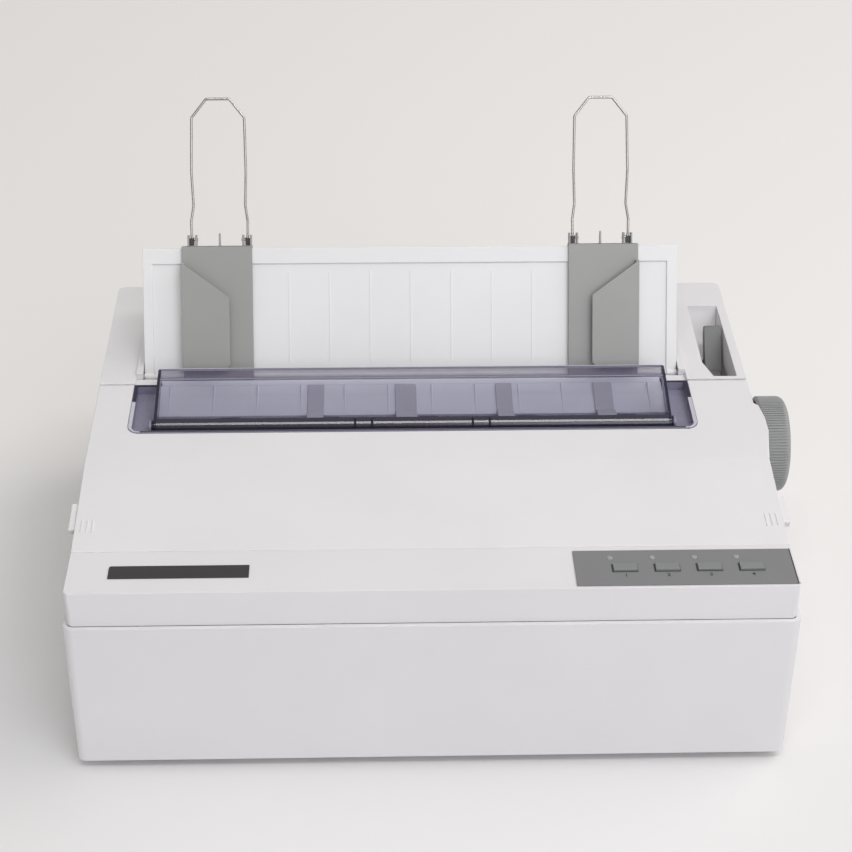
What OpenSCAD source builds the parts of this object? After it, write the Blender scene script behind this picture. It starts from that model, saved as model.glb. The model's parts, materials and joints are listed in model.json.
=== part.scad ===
// Dot matrix printer with a hinged top cover, a smoked lid, a folding paper table and rear tractors.
// Frame: +X to the right of the front, +Y to the rear, +Z up. The desk is z = 0.
// Inside the modules y is measured from the front lip and x from the middle of the case;
// at_origin() then moves the origin to the middle of the whole footprint.

/* [Case] */
// Width of the case at its lip
case_w = 415; // [405:1:430]
// Depth of the case at its lip
case_d = 326; // [322:1:345]
// Height of the lip where the two case halves meet
lip_z = 102.5; // [100:0.5:104]
// Height of the rubber feet below the case
foot_h = 6; // [4:0.5:8]
// Radius of each rubber foot
foot_r = 9; // [6:0.5:12]
// Thickness of the case walls
wall = 2.6; // [2:0.1:3]
// Amount each side leans in between the lip and the floor
side_lean = 1.2; // [0:0.1:2]
// Radius of the upright corners
corner_r = 6; // [4:0.5:9]
// Width of the shelf between the lower and the upper case
lip_step = 2.5; // [1.5:0.1:3.5]

/* [Top line] */
// Height of the front edge of the control band
band_z = 124.7; // [122:0.1:126]
// Place of the seam between the control band and the front cover
seam_y = 41.5; // [38:0.5:46]
// Height of the seam
seam_z = 125.5; // [124:0.1:127]
// Place of the soft ridge across the front cover
ridge_y = 116; // [100:1:130]
// Height of that ridge
ridge_z = 137; // [135:0.1:138]
// Distance from the platen's axis to the rear end of the front cover
cover_back = 24.3; // [22:0.1:25]
// Height of the rear end of the front cover
cover_z = 141.2; // [140.5:0.1:142]
// Height of the rear end of the side decks
deck_z = 145; // [143:0.5:148]
// Thickness of the front cover
cover_t = 3; // [2.4:0.1:3.4]
// Gap around the front cover
cover_gap = 0.5; // [0.4:0.1:0.8]

/* [Paper path] */
// Width of the left side deck, from the lip to the well
deck_left = 24.5; // [24:0.1:27]
// Width of the right side deck, which holds the lever slot
deck_right = 40.5; // [40:0.1:43]
// Gap between the paper table and each wall of the well
table_gap = 4.6; // [4:0.1:6]
// Lean of the paper table from upright
table_lean = 26; // [22:1:30]
// Length of the paper table along its slope
table_h = 85; // [75:0.5:95]
// Thickness of the paper table
table_t = 4; // [3:0.1:5]
// Width of each sheet guide
guide_w = 44.6; // [38:0.1:50]
// Depth of the channel that a sheet guide forms
guide_d = 8; // [6:0.5:9]
// Distance between the middles of the two sheet guides
guide_span = 246; // [220:1:260]
// Length of the wire supports
wire_h = 94; // [60:1:110]
// Distance between the legs of a wire support
wire_w = 35.4; // [30:0.2:38]
// Radius of the wire
wire_r = 0.85; // [0.7:0.05:1.2]

/* [Print unit] */
// Distance from each wall of the well in to the side frame below it
frame_gap = 5; // [4.5:0.1:6]
// Thickness of the side frames
frame_t = 1.6; // [1.2:0.1:2]
// Distance from the platen's axis to the back of the case
platen_back = 150; // [149:0.5:152]
// Height of the platen's axis
platen_z = 108; // [106:0.5:109]
// Radius of the platen roller
platen_r = 15.5; // [14:0.5:16]
// Radius of the platen shaft
shaft_r = 5; // [4:0.5:6]
// Radius of the paper feed knob
knob_r = 30.2; // [24:0.2:32]
// Width of the paper feed knob
knob_w = 18.5; // [14:0.5:22]
// Radius of the carriage rod
rod_r = 5; // [4:0.5:6]
// Radius of the belt pulleys
pulley_r = 8; // [6:0.5:10]
// Tooth size of the feed gears
gear_m = 1; // [0.9:0.05:1]
// Teeth on the platen gear
platen_teeth = 36; // [34:2:38]
// Teeth on the feed idler
idler_teeth = 30; // [28:2:32]
// Teeth on the motor pinion
pinion_teeth = 12; // [12:2:14]
// Teeth on each tractor idler
chain_teeth = 28; // [26:2:30]
// Teeth on the tractor gear
tractor_teeth = 24; // [20:2:26]

/* [Controls] */
// Number of buttons on the panel
button_count = 4; // [4]
// Width of a button
button_w = 13.6; // [10:0.2:15]
// Depth of a button
button_d = 6.4; // [6:0.2:9]
// Travel of a button
button_travel = 0.8; // [0.5:0.1:1]
// Height that a button stands above the panel
button_rise = 1.2; // [1:0.1:2]
// Spacing of the buttons
button_pitch = 23.9; // [22:0.1:27]
// Width of the lever slot
slot_w = 19.6; // [16:0.2:20]
// Length of the lever slot
slot_d = 87; // [80:1:90]
// Width of the release lever
lever_w = 10.8; // [8:0.2:12]

/* [Hidden] */
$fn = 48;
shell_white = [0.87, 0.855, 0.84];
table_white = [0.9, 0.9, 0.91];
guide_grey = [0.61, 0.61, 0.6];
panel_grey = [0.47, 0.48, 0.48];
smoke = [0.36, 0.35, 0.47, 0.6];
knob_grey = [0.5, 0.53, 0.52];
steel = [0.7, 0.71, 0.73];
dark_rubber = [0.1, 0.1, 0.11];
gear_cream = [0.88, 0.86, 0.78];
black_plastic = [0.12, 0.12, 0.13];
board_green = [0.1, 0.33, 0.2];

fit = 0.05;             // running clearance of a shaft in its hole
touch = 0.3;            // gap between pieces that move past each other
wire_sides = 10;
over = 1;               // overshoot of every cut

half_w = case_w / 2;
upper_hw = half_w - lip_step + 0.3;
inner_hw = upper_hw - wall;
front_y = lip_step + 0.2;         // front face of the upper case
front_lean = 0.9;
rear_y = case_d - lip_step;
floor_z = foot_h + wall;
platen_y = case_d - platen_back;
cover_y = platen_y + cover_back;
deck_y = cover_y + 1.1;           // front end of the side decks
well_x0 = -half_w + deck_left;
well_x1 = half_w - deck_right;
well_w = well_x1 - well_x0;
path_x = (well_x0 + well_x1) / 2;   // middle of the paper path
table_w = well_w - 2 * table_gap;
frame_w = well_w - 2 * frame_gap;
skirt_z = 130;                    // lower edge of the walls beside the well
rear_sill_z = lip_z + 18;         // top of the rear wall, under the fanfold paper
knob_gap = 1;
knob_x0 = half_w + knob_gap;
knob_x1 = knob_x0 + knob_w;
grip_out = 4;                     // finger grips beside the cover
grip_y0 = seam_y + 20.5;
grip_y1 = grip_y0 + 21.5;
rib_y0 = grip_y0 - 4.5;           // front end of the short ribs beside each grip
origin_x = (knob_x1 - upper_hw - grip_out) / 2;
inlet_flange = 1.5;
origin_y = (case_d + inlet_flange) / 2;

// Slopes of the top line
band_slope = atan2(seam_z - band_z, seam_y - front_y - front_lean);
front_slope = atan2(ridge_z - seam_z, ridge_y - seam_y);
rear_slope = atan2(cover_z - ridge_z, cover_y - ridge_y);
function band_top(y) = seam_z + (y - seam_y) * tan(band_slope);
function cover_top(y) = y < ridge_y ? seam_z + (y - seam_y) * tan(front_slope)
                                    : ridge_z + (y - ridge_y) * tan(rear_slope);

// Print unit
frame_x0 = path_x - frame_w / 2;  // inner face of the left side frame
frame_x1 = path_x + frame_w / 2;  // inner face of the right side frame
base_z = floor_z + 5.4;           // underside of the base frame
base_t = 2;
frame_z = base_z + base_t;
frame_y0 = platen_y - 88;
frame_y1 = platen_y + 64;
rod_y = platen_y - 48;
rod_z = platen_z - 24;
rail_y = rod_y - 34;
rail_z = rod_z + 4;
rail_t = 2;
roller_end = 6;                   // from a side frame to the end of the roller
head_gap = 0.7;                   // paper gap in front of the platen

// Gear train, outside the left side frame. Angles run from +Y towards +Z.
gear_w = 5;
gear_x = frame_x0 - frame_t - 2 - gear_w;
tooth_add = 0.85;
tooth_root = 1.2;
idler_dir = 225;
pinion_dir = 270;
chain_dir = -3;
function pitch_r(teeth) = gear_m * teeth / 2;
function step_to(p, dir, dist) = [p[0] + dist * cos(dir), p[1] + dist * sin(dir)];
// Turn that puts the teeth of the next gear between those of the last one
function mesh_turn(dir, turn, teeth, next) = dir + 180 - (turn - dir) * teeth / next + 180 / next;
platen_at = [platen_y, platen_z];
idler_at = step_to(platen_at, idler_dir, pitch_r(platen_teeth + idler_teeth));
pinion_at = step_to(idler_at, pinion_dir, pitch_r(idler_teeth + pinion_teeth));
chain1_at = step_to(platen_at, chain_dir, pitch_r(platen_teeth + chain_teeth));
chain2_at = step_to(chain1_at, chain_dir, pitch_r(2 * chain_teeth));
tractor_at = step_to(chain2_at, chain_dir, pitch_r(chain_teeth + tractor_teeth));
platen_turn = 0;
idler_turn = mesh_turn(idler_dir, platen_turn, platen_teeth, idler_teeth);
pinion_turn = mesh_turn(pinion_dir, idler_turn, idler_teeth, pinion_teeth);
chain1_turn = mesh_turn(chain_dir, platen_turn, platen_teeth, chain_teeth);
chain2_turn = mesh_turn(chain_dir, chain1_turn, chain_teeth, chain_teeth);
tractor_turn = mesh_turn(chain_dir, chain2_turn, chain_teeth, tractor_teeth);
post_r = 2.5;
idler_bore = post_r + fit;

// Feed and carriage motors
feed_motor_r = 17;
feed_motor_l = 34;
carriage_motor_w = 42;
carriage_motor_h = 38;
motor_shaft_r = 2.5;
belt_y = rod_y - 16;
belt_z = rod_z - 22;
belt_h = 6;
belt_t = 1.4;
pulley_x0 = frame_x0 + 24;
pulley_x1 = frame_x1 - 16;

// Carriage
carriage_hw = 22;
carriage_y0 = rod_y - 24;
carriage_y1 = rod_y + 16;
carriage_z0 = rod_z - rod_r - 5;
carriage_z1 = rod_z + rod_r + 5;
cartridge_hw = 50;
cartridge_y0 = seam_y + 9;
cartridge_y1 = carriage_y0 - 4;
cartridge_z0 = carriage_z1 + 3;
cartridge_h = 17;
ribbon_knob_r = 7;
ribbon_knob_at = [path_x - 34, (cartridge_y0 + cartridge_y1) / 2];

// Tractors
tractor_w = 15;
tractor_z0 = tractor_at[1] - 10;
tractor_z1 = tractor_at[1] + 11;
tractor_d = 56;
tractor_y0 = tractor_at[0] - 14;
tractor_y1 = tractor_y0 + tractor_d;
tractor_rod_at = [tractor_at[0] + 28, tractor_at[1]];
tractor_rod_r = 3.5;
tractor_shaft_s = 7;
tractor_span = 220;
door_t = 2;

// Paper table, its guides and its wires, measured along the table's slope
table_x0 = path_x - table_w / 2;
table_x1 = path_x + table_w / 2;
table_foot = [platen_y + 40, 138];   // a point on the front face
table_low = -4;
table_high = table_low + table_h;
table_pin = [table_foot[0] + 1.6, table_foot[1] - 1.5];
table_pin_r = 2;
table_rim = 1.2;
guide_low = -2;
flange_low = 7;
flange_w = 30;
flange_shoulder = 50;
guide_t = 2;
flange_t = 1.5;
guide_top = table_high + 1.5;
hook_drop = 12;
wire_pin_s = guide_top + 4;
wire_pin_n = -1;
rib_pitch = 25.9;

// Smoked tray and lid, set in the rear part of the cover
tray_out = 0.3;                   // each side of the tray, beyond the well
tray_x0 = well_x0 - tray_out;
tray_x1 = well_x1 + tray_out;
tray_y0 = platen_y - 29.5;
tray_r = 8;
tray_rim = 2.4;
tray_deep = 5.5;
tray_floor = 1.8;
lid_in = 15.3;                    // from each wall of the well to the end of the lid
lid_hw = well_w / 2 - lid_in;
lid_pivot = [platen_y - 17, 135.5];
lid_roll_r = 5.5;
lid_t = 1.8;
lid_fold = [platen_y + 15, 150.3];
lid_end = [platen_y + 26, 151.6];
lid_pin_r = 1.6;
lid_pin_l = 3;

// Ledges of the case that close the corners between the tray and the paper table
ledge_w = lid_in - 2;
ledge_y0 = deck_y + 0.3;
ledge_y1 = table_foot[0] - 5.7;
ledge_z = cover_z - 2.2;

// Cover hinge, in the side arms of the cover
hinge_at = [cover_y - 2.6, cover_z - 2.8];
hinge_r = 1.2;
hinge_eye_r = 2.5;
ear_r = 2;
hinge_eye_w = 8;
hinge_x = [-(upper_hw - 12), upper_hw - 12];

// Lever slot in the right deck
slot_x1 = upper_hw - 5.8;
slot_x0 = slot_x1 - slot_w;
slot_y0 = cover_y + 4.6;
slot_y1 = slot_y0 + slot_d;
slot_wall = 1.6;
lever_at = [platen_y + 60, 100];
lever_x1 = slot_x1 - 1.4;
lever_x0 = lever_x1 - lever_w;
lever_reach = 53;
lever_lean = 52.7;
lever_post_r = 4;

// Head gap lever, on the outside of the right side frame
gap_at = [frame_y0 + 22, 96];
gap_reach = 30;

// Operator panel
panel_w = 124.3;
panel_x1 = upper_hw - 1.2;
panel_x0 = panel_x1 - panel_w;
panel_y0 = 5.2;
panel_y1 = 37;
panel_t = 0.8;
button_x0 = panel_x0 + 28.4;
button_y = 20.7;
light_x0 = panel_x0 + 20.7;
light_y = 30.1;
light_pitch = 24;
light_r = 1.8;
badge_x0 = -upper_hw + 23.3;
badge_w = 78.8;
badge_y0 = 16.4;
badge_d = 11.3;
badge_t = 0.6;

// Rear connectors
inlet_x = -half_w + 57.5;
inlet_z = 42;
rocker_x = inlet_x - 28.5;
rocker_w = 20;
rocker_h = 13;
rocker_deep = 14;
rocker_pin_r = 1.2;
port_x = half_w - 137.5;
port_z = 34;
port_w = 62;
port_h = 14;

// Fasteners, posts and boards
foot_in = 34;
foot_places = [for (x = [-half_w + foot_in, half_w - foot_in], y = [foot_in, case_d - foot_in]) [x, y]];
screw_in = 14;
front_screw_in = 150;
screw_places = [
    [-half_w + front_screw_in, screw_in], [half_w - front_screw_in, screw_in],
    [-half_w + screw_in, case_d - screw_in], [half_w - screw_in, case_d - screw_in]];
post_top = lip_z - 6;
screw_r = 1.6;
screw_head_r = 3.4;
screw_head_h = 2.6;
frame_post = [for (x = [frame_x0 + 60, frame_x1 - 60], y = [frame_y0 + 10, platen_y + 52]) [x, y]];
supply_w = 86;
supply_x1 = half_w - 49.5;
supply_x0 = supply_x1 - supply_w;
board_post = [for (x = [-half_w + 69.5, supply_x0 - 20], y = [rear_y - 66, rear_y - 14]) [x, y]];
supply_y0 = rear_y - 80;
supply_y1 = rear_y - wall - 6;
board_z = band_z - 16;
board_t = 1.6;
button_foot_z = band_z - 5.5;

bush_r = shaft_r + 2.5;
tractor_journal_r = 3.5;
exit_at = [platen_y - 2, platen_z + platen_r + 4.6];
exit_shaft_r = 1.5;
exit_roller_r = 3.6;
exit_ribs = 12;
exit_rib_pitch = 27.66;
guide_end_y = table_foot[0] - 7.7;  // rear end of the exit guide
rocker_at = [case_d - 5, inlet_z];

// ---- Helpers ----

module at_origin() { translate([-origin_x, -origin_y, 0]) children(); }

// Draws a (y, z) outline along x
module across(x0, x1) { translate([x0, 0, 0]) rotate([90, 0, 90]) linear_extrude(x1 - x0) children(); }

// A box between two corners
module block(low, high) { translate(low) cube(high - low); }

// Round bars along each axis
module bar_x(x0, x1, at, r) { translate([x0, at[0], at[1]]) rotate([0, 90, 0]) cylinder(h = x1 - x0, r = r); }
module bar_y(y0, y1, x, z, r) { translate([x, y1, z]) rotate([90, 0, 0]) cylinder(h = y1 - y0, r = r); }
module bar_z(z0, z1, x, y, r) { translate([x, y, z0]) cylinder(h = z1 - z0, r = r); }

// A rectangle with round corners, between two corners
module round_rect(low, high, r) {
    union() {
        translate(low + [r, 0]) square([high[0] - low[0] - 2 * r, high[1] - low[1]]);
        translate(low + [0, r]) square([high[0] - low[0], high[1] - low[1] - 2 * r]);
        for (x = [low[0] + r, high[0] - r], y = [low[1] + r, high[1] - r]) translate([x, y]) circle(r);
    }
}

// A bent wire swept along points that turn in the (u, v) plane, with mitred bends
function flat_dir(p, q) = let (d = [q[0] - p[0], q[1] - p[1]]) d / norm(d);
function wire_ring(path, i, r) = let (
    before = flat_dir(path[max(i - 1, 0)], path[max(i, 1)]),
    after = flat_dir(path[min(i, len(path) - 2)], path[min(i + 1, len(path) - 1)]),
    mean = (before + after) / norm(before + after),
    side = [-mean[1], mean[0], 0] / (mean * after))
    [for (k = [0 : wire_sides - 1]) path[i]
        + r * cos(k * 360 / wire_sides) * side + [0, 0, r * sin(k * 360 / wire_sides)]];
module bent_wire(path, r) {
    rings = len(path);
    n = wire_sides;
    polyhedron(
        points = [for (i = [0 : rings - 1]) each wire_ring(path, i, r)],
        faces = concat(
            [[for (k = [0 : n - 1]) k]],
            [for (i = [0 : rings - 2], k = [0 : n - 1])
                [i * n + k, (i + 1) * n + k, (i + 1) * n + (k + 1) % n, i * n + (k + 1) % n]],
            [[for (k = [n - 1 : -1 : 0]) (rings - 1) * n + k]]));
}

// A spur gear outline with straight-sided teeth, the first tooth on the +y side
module gear_outline(teeth) {
    r = pitch_r(teeth);
    step = 360 / teeth;
    root = r - gear_m * tooth_root;
    tip = r + gear_m * tooth_add;
    polygon([for (i = [0 : teeth - 1], k = [[-0.33, root], [-0.13, tip], [0.13, tip], [0.33, root]])
        k[1] * [cos((i + k[0]) * step), sin((i + k[0]) * step)]]);
}

// A gear on the train's plane
module feed_gear(at, teeth, turn, bore) {
    difference() {
        across(gear_x, gear_x + gear_w) translate(at) rotate(turn) gear_outline(teeth);
        bar_x(gear_x - over, gear_x + gear_w + over, at, bore);
        if (teeth > 20) difference() {
            bar_x(gear_x - over, gear_x + 1.5, at, pitch_r(teeth) - 4);
            bar_x(gear_x - over, gear_x + 1.5, at, bore + 2.5);
        }
    }
}

// Places a shape in the plane of the table: u along x, v up the slope, w towards the front
module on_table() {
    translate([0, table_foot[0], table_foot[1]]) rotate([90 - table_lean, 0, 0]) children();
}

// ---- Case ----

module case_plan(inset) {
    round_rect([-half_w + inset, inset], [half_w - inset, case_d - inset], corner_r - min(inset, wall));
}

module lower_body(inset, low) {
    intersection() {
        translate([0, 0, low]) linear_extrude(lip_z - low + (inset > 0 ? over : 0)) case_plan(inset);
        translate([0, case_d, 0]) rotate([90, 0, 0]) linear_extrude(case_d) polygon([
            [-half_w + inset + side_lean, foot_h], [half_w - inset - side_lean, foot_h],
            [half_w - inset, lip_z + over], [-half_w + inset, lip_z + over]]);
    }
}

module lower_case() {
    at_origin() color(shell_white) difference() {
        union() {
            difference() {
                lower_body(0, foot_h);
                lower_body(wall, floor_z);
            }
            for (p = screw_places) bar_z(foot_h, post_top, p[0], p[1], 5);
            for (p = frame_post) bar_z(foot_h, base_z, p[0], p[1], 6);
            for (p = board_post) bar_z(foot_h, floor_z + 5, p[0], p[1], 3.5);
            // Ribs that hold the power supply
            for (x = [supply_x0 + 10, supply_x1 - 14])
                block([x, supply_y0, foot_h + 1], [x + 4, supply_y1, floor_z + 3]);
        }
        for (p = screw_places) {
            bar_z(foot_h - over, post_top + over, p[0], p[1], screw_r + fit);
            bar_z(foot_h - over, foot_h + screw_head_h + 2, p[0], p[1], screw_head_r + touch);
        }
        for (p = frame_post) bar_z(foot_h + wall - touch, base_z + over, p[0], p[1], screw_r + fit);
        for (p = foot_places) bar_z(foot_h - over, floor_z + over, p[0], p[1], foot_r / 3);
        // Openings for the mains inlet, the rocker and the printer port
        block([inlet_x - 13.5, case_d - 2 * wall, inlet_z - 10], [inlet_x + 13.5, case_d + over, inlet_z + 10]);
        block([rocker_x - rocker_w / 2, case_d - 2 * wall, inlet_z - rocker_h / 2],
              [rocker_x + rocker_w / 2, case_d + over, inlet_z + rocker_h / 2]);
        block([port_x - port_w / 2, case_d - 2 * wall, port_z - port_h / 2],
              [port_x + port_w / 2, case_d + over, port_z + port_h / 2]);
        // Hole for the platen shaft
        bar_x(half_w - 4 * wall, half_w + over, platen_at, shaft_r + 3);
        // Slots that let warm air out of the left side
        for (i = [0 : 9]) translate([-half_w - over, platen_y + 14 + i * 9, 46])
            cube([4 * wall, 4, 34]);
    }
}

module upper_outline(inset) {
    low = lip_z - (inset > 0 ? over : 0);
    seat = cover_t + cover_gap;
    polygon([
        [front_y + inset, low], [front_y + front_lean + inset, band_z - inset],
        [seam_y, seam_z - inset], [seam_y, seam_z - seat - inset],
        [ridge_y, ridge_z - seat - inset], [deck_y, cover_z - seat - inset],
        [deck_y, cover_z - inset], [rear_y - inset, deck_z - inset], [rear_y - inset, low]]);
}

module upper_case() {
    at_origin() color(shell_white) {
        difference() {
            intersection() {
                across(-upper_hw, upper_hw) upper_outline(0);
                translate([0, 0, lip_z - over]) linear_extrude(deck_z) round_rect(
                    [-upper_hw, front_y - 0.3], [upper_hw, rear_y], corner_r - 1);
            }
            // Room under the control band, the cover and the two decks
            difference() {
                across(-inner_hw, inner_hw) upper_outline(wall);
                // Walls beside the well
                for (x = [well_x0 - wall, well_x1])
                    block([x, deck_y - 0.01, skirt_z], [x + wall, rear_y, deck_z + over]);
                // Rear wall of the control band
                block([-inner_hw, seam_y - wall, lip_z + 9], [inner_hw, seam_y, seam_z]);
                // Front walls of the two decks
                block([-inner_hw, deck_y, skirt_z - 2], [well_x0, deck_y + wall, deck_z]);
                block([well_x1, deck_y, skirt_z - 2], [inner_hw, deck_y + wall, deck_z]);
                // Walls of the lever slot
                block([slot_x0 - slot_wall, slot_y0 - slot_wall, 124], [slot_x1 + slot_wall, slot_y1 + slot_wall, deck_z]);
            }
            // The open top under the cover, and the well between the decks
            block([-inner_hw, seam_y, lip_z + 5], [inner_hw, deck_y, deck_z + over]);
            block([well_x0, seam_y + over, lip_z + 5], [well_x1, rear_y - wall, deck_z + over]);
            block([well_x0, rear_y - 2 * wall, rear_sill_z], [well_x1, rear_y + over, deck_z + over]);
            // Relief under the cover's hinge
            for (s = [-1, 1]) block(
                [s > 0 ? inner_hw - over : -upper_hw - over, hinge_at[0] - 6, hinge_at[1] - 7],
                [s > 0 ? upper_hw + over : -inner_hw + over, deck_y, deck_z]);
            // Lever slot with a cut front corner
            linear_extrude(deck_z + over) polygon([
                [slot_x0, slot_y0 + 16.6], [slot_x0 + 5, slot_y0], [slot_x1, slot_y0],
                [slot_x1, slot_y1], [slot_x0, slot_y1]]);
            // Holes for the platen shaft, the table's pins, the buttons and the lights
            bar_x(inner_hw - over, upper_hw + over, platen_at, shaft_r + 3);
            bar_x(well_x0 - wall - over, well_x1 + wall + over, table_pin, table_pin_r + fit);
            for (i = [0 : button_count - 1]) button_hole(i, touch, band_z - 9, seam_z + over);
            for (i = [0 : 3]) bar_z(band_z - 9, seam_z + over, light_x0 + i * light_pitch, light_y, light_r + fit);
            for (p = screw_places) bar_z(lip_z - over, post_top + 16, p[0], p[1], screw_r + fit);
        }
        // Screw posts that reach down to the lower case
        for (p = screw_places) difference() {
            intersection() {
                bar_z(post_top, deck_z, p[0], p[1], 5);
                across(-upper_hw + over / 2, upper_hw - over / 2) upper_outline(wall / 2);
            }
            bar_z(post_top - over, post_top + 16, p[0], p[1], screw_r + fit);
        }
        // Ledges in the front corners of the well, beside the lid
        for (s = [-1, 1]) block([s > 0 ? well_x1 - ledge_w : well_x0 - 1, ledge_y0, ledge_z - 9],
                                [s > 0 ? well_x1 + 1 : well_x0 + ledge_w, ledge_y1, ledge_z]);
        // Ears that carry the cover's hinge pins
        for (x = hinge_x, s = [-1, 1]) translate([x + s * (hinge_eye_w / 2 + 1.4), 0, 0]) difference() {
            across(-1, 1) union() {
                translate(hinge_at) circle(ear_r);
                translate(hinge_at) polygon([
                    [-1.2, -8], [deck_y + 2 - hinge_at[0], -8], [deck_y + 2 - hinge_at[0], -5],
                    [ear_r - 0.3, -0.6], [-1.2, -0.6]]);
            }
            bar_x(-over - 1, over + 1, hinge_at, hinge_r + fit);
        }
        // Guard around the knob's hub
        difference() {
            intersection() {
                bar_x(inner_hw, half_w + 0.2, platen_at, 24);
                block([inner_hw, 0, lip_z + touch], [half_w + over, case_d, cover_top(platen_y) - cover_t - cover_gap]);
            }
            bar_x(inner_hw - over, half_w + over, platen_at, shaft_r + 3);
        }
    }
}

module button_hole(i, gap, z0, z1) {
    x = button_x0 + i * button_pitch;
    block([x - button_w / 2 - gap, button_y - button_d / 2 - gap, z0],
          [x + button_w / 2 + gap, button_y + button_d / 2 + gap, z1]);
}

module rubber_feet() {
    at_origin() color(dark_rubber) for (p = foot_places) {
        bar_z(0, foot_h, p[0], p[1], foot_r);
        bar_z(foot_h - 0.01, floor_z, p[0], p[1], foot_r / 3);
        bar_z(floor_z, floor_z + 1.5, p[0], p[1], foot_r / 3 + 1);
    }
}

module case_screws() {
    at_origin() color(steel) {
        for (p = screw_places) {
            bar_z(foot_h + 2, foot_h + 2 + screw_head_h, p[0], p[1], screw_head_r);
            bar_z(foot_h + 2 + screw_head_h, post_top + 14, p[0], p[1], screw_r);
        }
        // Screws of the base frame
        for (p = frame_post) {
            bar_z(foot_h + wall, frame_z, p[0], p[1], screw_r);
            bar_z(frame_z, frame_z + screw_head_h, p[0], p[1], screw_head_r);
        }
    }
}

// A thin plate on the sloping control band, between two corners
module band_plate(x0, y0, x1, y1, low, high) {
    across(x0, x1) polygon([
        [y0, band_top(y0) + low], [y1, band_top(y1) + low], [y1, band_top(y1) + high], [y0, band_top(y0) + high]]);
}

module operator_panel() {
    at_origin() color(panel_grey) difference() {
        band_plate(panel_x0, panel_y0, panel_x1, panel_y1, 0, panel_t);
        for (i = [0 : button_count - 1]) button_hole(i, touch, band_z - 2, seam_z + 2);
        for (i = [0 : 3]) bar_z(band_z - 2, seam_z + 2, light_x0 + i * light_pitch, light_y, light_r + fit);
    }
}

module status_lights() {
    at_origin() color([0.78, 0.78, 0.74]) for (i = [0 : 3]) {
        bar_z(board_z + 1.6, band_top(light_y) + panel_t + 0.2, light_x0 + i * light_pitch, light_y, light_r);
    }
}

module name_badge() {
    at_origin() color(black_plastic)
        band_plate(badge_x0, badge_y0, badge_x0 + badge_w, badge_y0 + badge_d, 0, badge_t);
}

module panel_board() {
    at_origin() color(board_green) {
        block([panel_x0 + 6, 9, board_z], [inner_hw - 3, seam_y - wall - 2, board_z + board_t]);
        // Switch bodies below the buttons
        for (i = [0 : button_count - 1]) translate([button_x0 + i * button_pitch, button_y, 0]) {
            block([-4, -3, board_z + board_t], [4, 3, button_foot_z - button_travel - 0.2]);
        }
        // Posts that hang the board from the band
        for (x = [panel_x0 + 9, inner_hw - 6]) bar_z(board_z + board_t, band_z - wall, x, 13, 2.2);
    }
}

// ---- Buttons ----

module panel_button(i) {
    x = button_x0 + i * button_pitch;
    top = band_top(button_y) + panel_t + button_rise;
    at_origin() color([0.66, 0.67, 0.67]) {
        block([x - button_w / 2, button_y - button_d / 2, button_foot_z],
              [x + button_w / 2, button_y + button_d / 2, top]);
        // A rim below the band that stops the button from lifting out
        block([x - button_w / 2 - 1, button_y - button_d / 2 - 1, button_foot_z],
              [x + button_w / 2 + 1, button_y + button_d / 2 + 1, band_top(button_y - button_d) - wall - touch]);
    }
}
module button_1() { panel_button(0); }
module button_2() { panel_button(1); }
module button_3() { panel_button(2); }
module button_4() { panel_button(3); }

// ---- Print unit's frame ----

module base_frame() {
    x0 = frame_x0 - frame_t;
    x1 = frame_x1 + frame_t;
    at_origin() color(steel) difference() {
        union() {
            block([x0, frame_y0, base_z], [x1, frame_y1, frame_z]);
            // Front wall with the rail that the carriage's foot slides on
            block([frame_x0 + 4, frame_y0, frame_z - 0.01], [frame_x1 - 4, frame_y0 + rail_t, rail_z]);
            block([frame_x0 + 4, frame_y0, rail_z - rail_t], [frame_x1 - 4, rail_y + 3, rail_z]);
            // Post of the belt's idler pulley
            bar_z(frame_z - 0.01, belt_z + belt_h / 2 + 2, pulley_x1, belt_y, motor_shaft_r);
            bar_z(frame_z - 0.01, belt_z - belt_h / 2 - 1.5 - touch, pulley_x1, belt_y, motor_shaft_r + 3);
        }
        for (p = frame_post) bar_z(base_z - over, frame_z + over, p[0], p[1], screw_r + fit);
        // Lightening holes
        for (i = [-2 : 2]) bar_z(base_z - over, frame_z + over, path_x + i * 52, platen_y - 6, 14);
    }
}

module side_plate() {
    y0 = frame_y0;
    polygon([
        [y0, frame_z], [frame_y1, frame_z], [frame_y1, platen_z - 44],
        [tractor_rod_at[0] + 10, tractor_at[1] - 16], [tractor_rod_at[0] + 10, tractor_at[1] + 9],
        [tractor_at[0] - 12, tractor_at[1] + 9], [platen_y + 30, platen_z + 12],
        [platen_y + 24, platen_z + 20], [platen_y + 10, platen_z + 23],
        [platen_y - 14, platen_z + 23], [platen_y - 24, platen_z + 18],
        [platen_y - 40, platen_z + 6], [y0, platen_z - 2]]);
}

module left_side_frame() {
    at_origin() color(steel) {
        difference() {
            across(frame_x0 - frame_t, frame_x0) side_plate();
            frame_holes(frame_x0 - frame_t);
            bar_x(frame_x0 - frame_t - over, frame_x0 + over, pinion_at, 8);
        }
        // Posts that the idlers turn on, each with a clip collar at its end
        for (at = [idler_at, chain1_at, chain2_at]) {
            bar_x(gear_x - 3, frame_x0 - frame_t + 0.01, at, post_r);
            bar_x(gear_x + gear_w + touch, frame_x0 - frame_t, at, post_r + 2);
            bar_x(gear_x - 2, gear_x - touch, at, post_r + 1.5);
        }
    }
}

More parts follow.
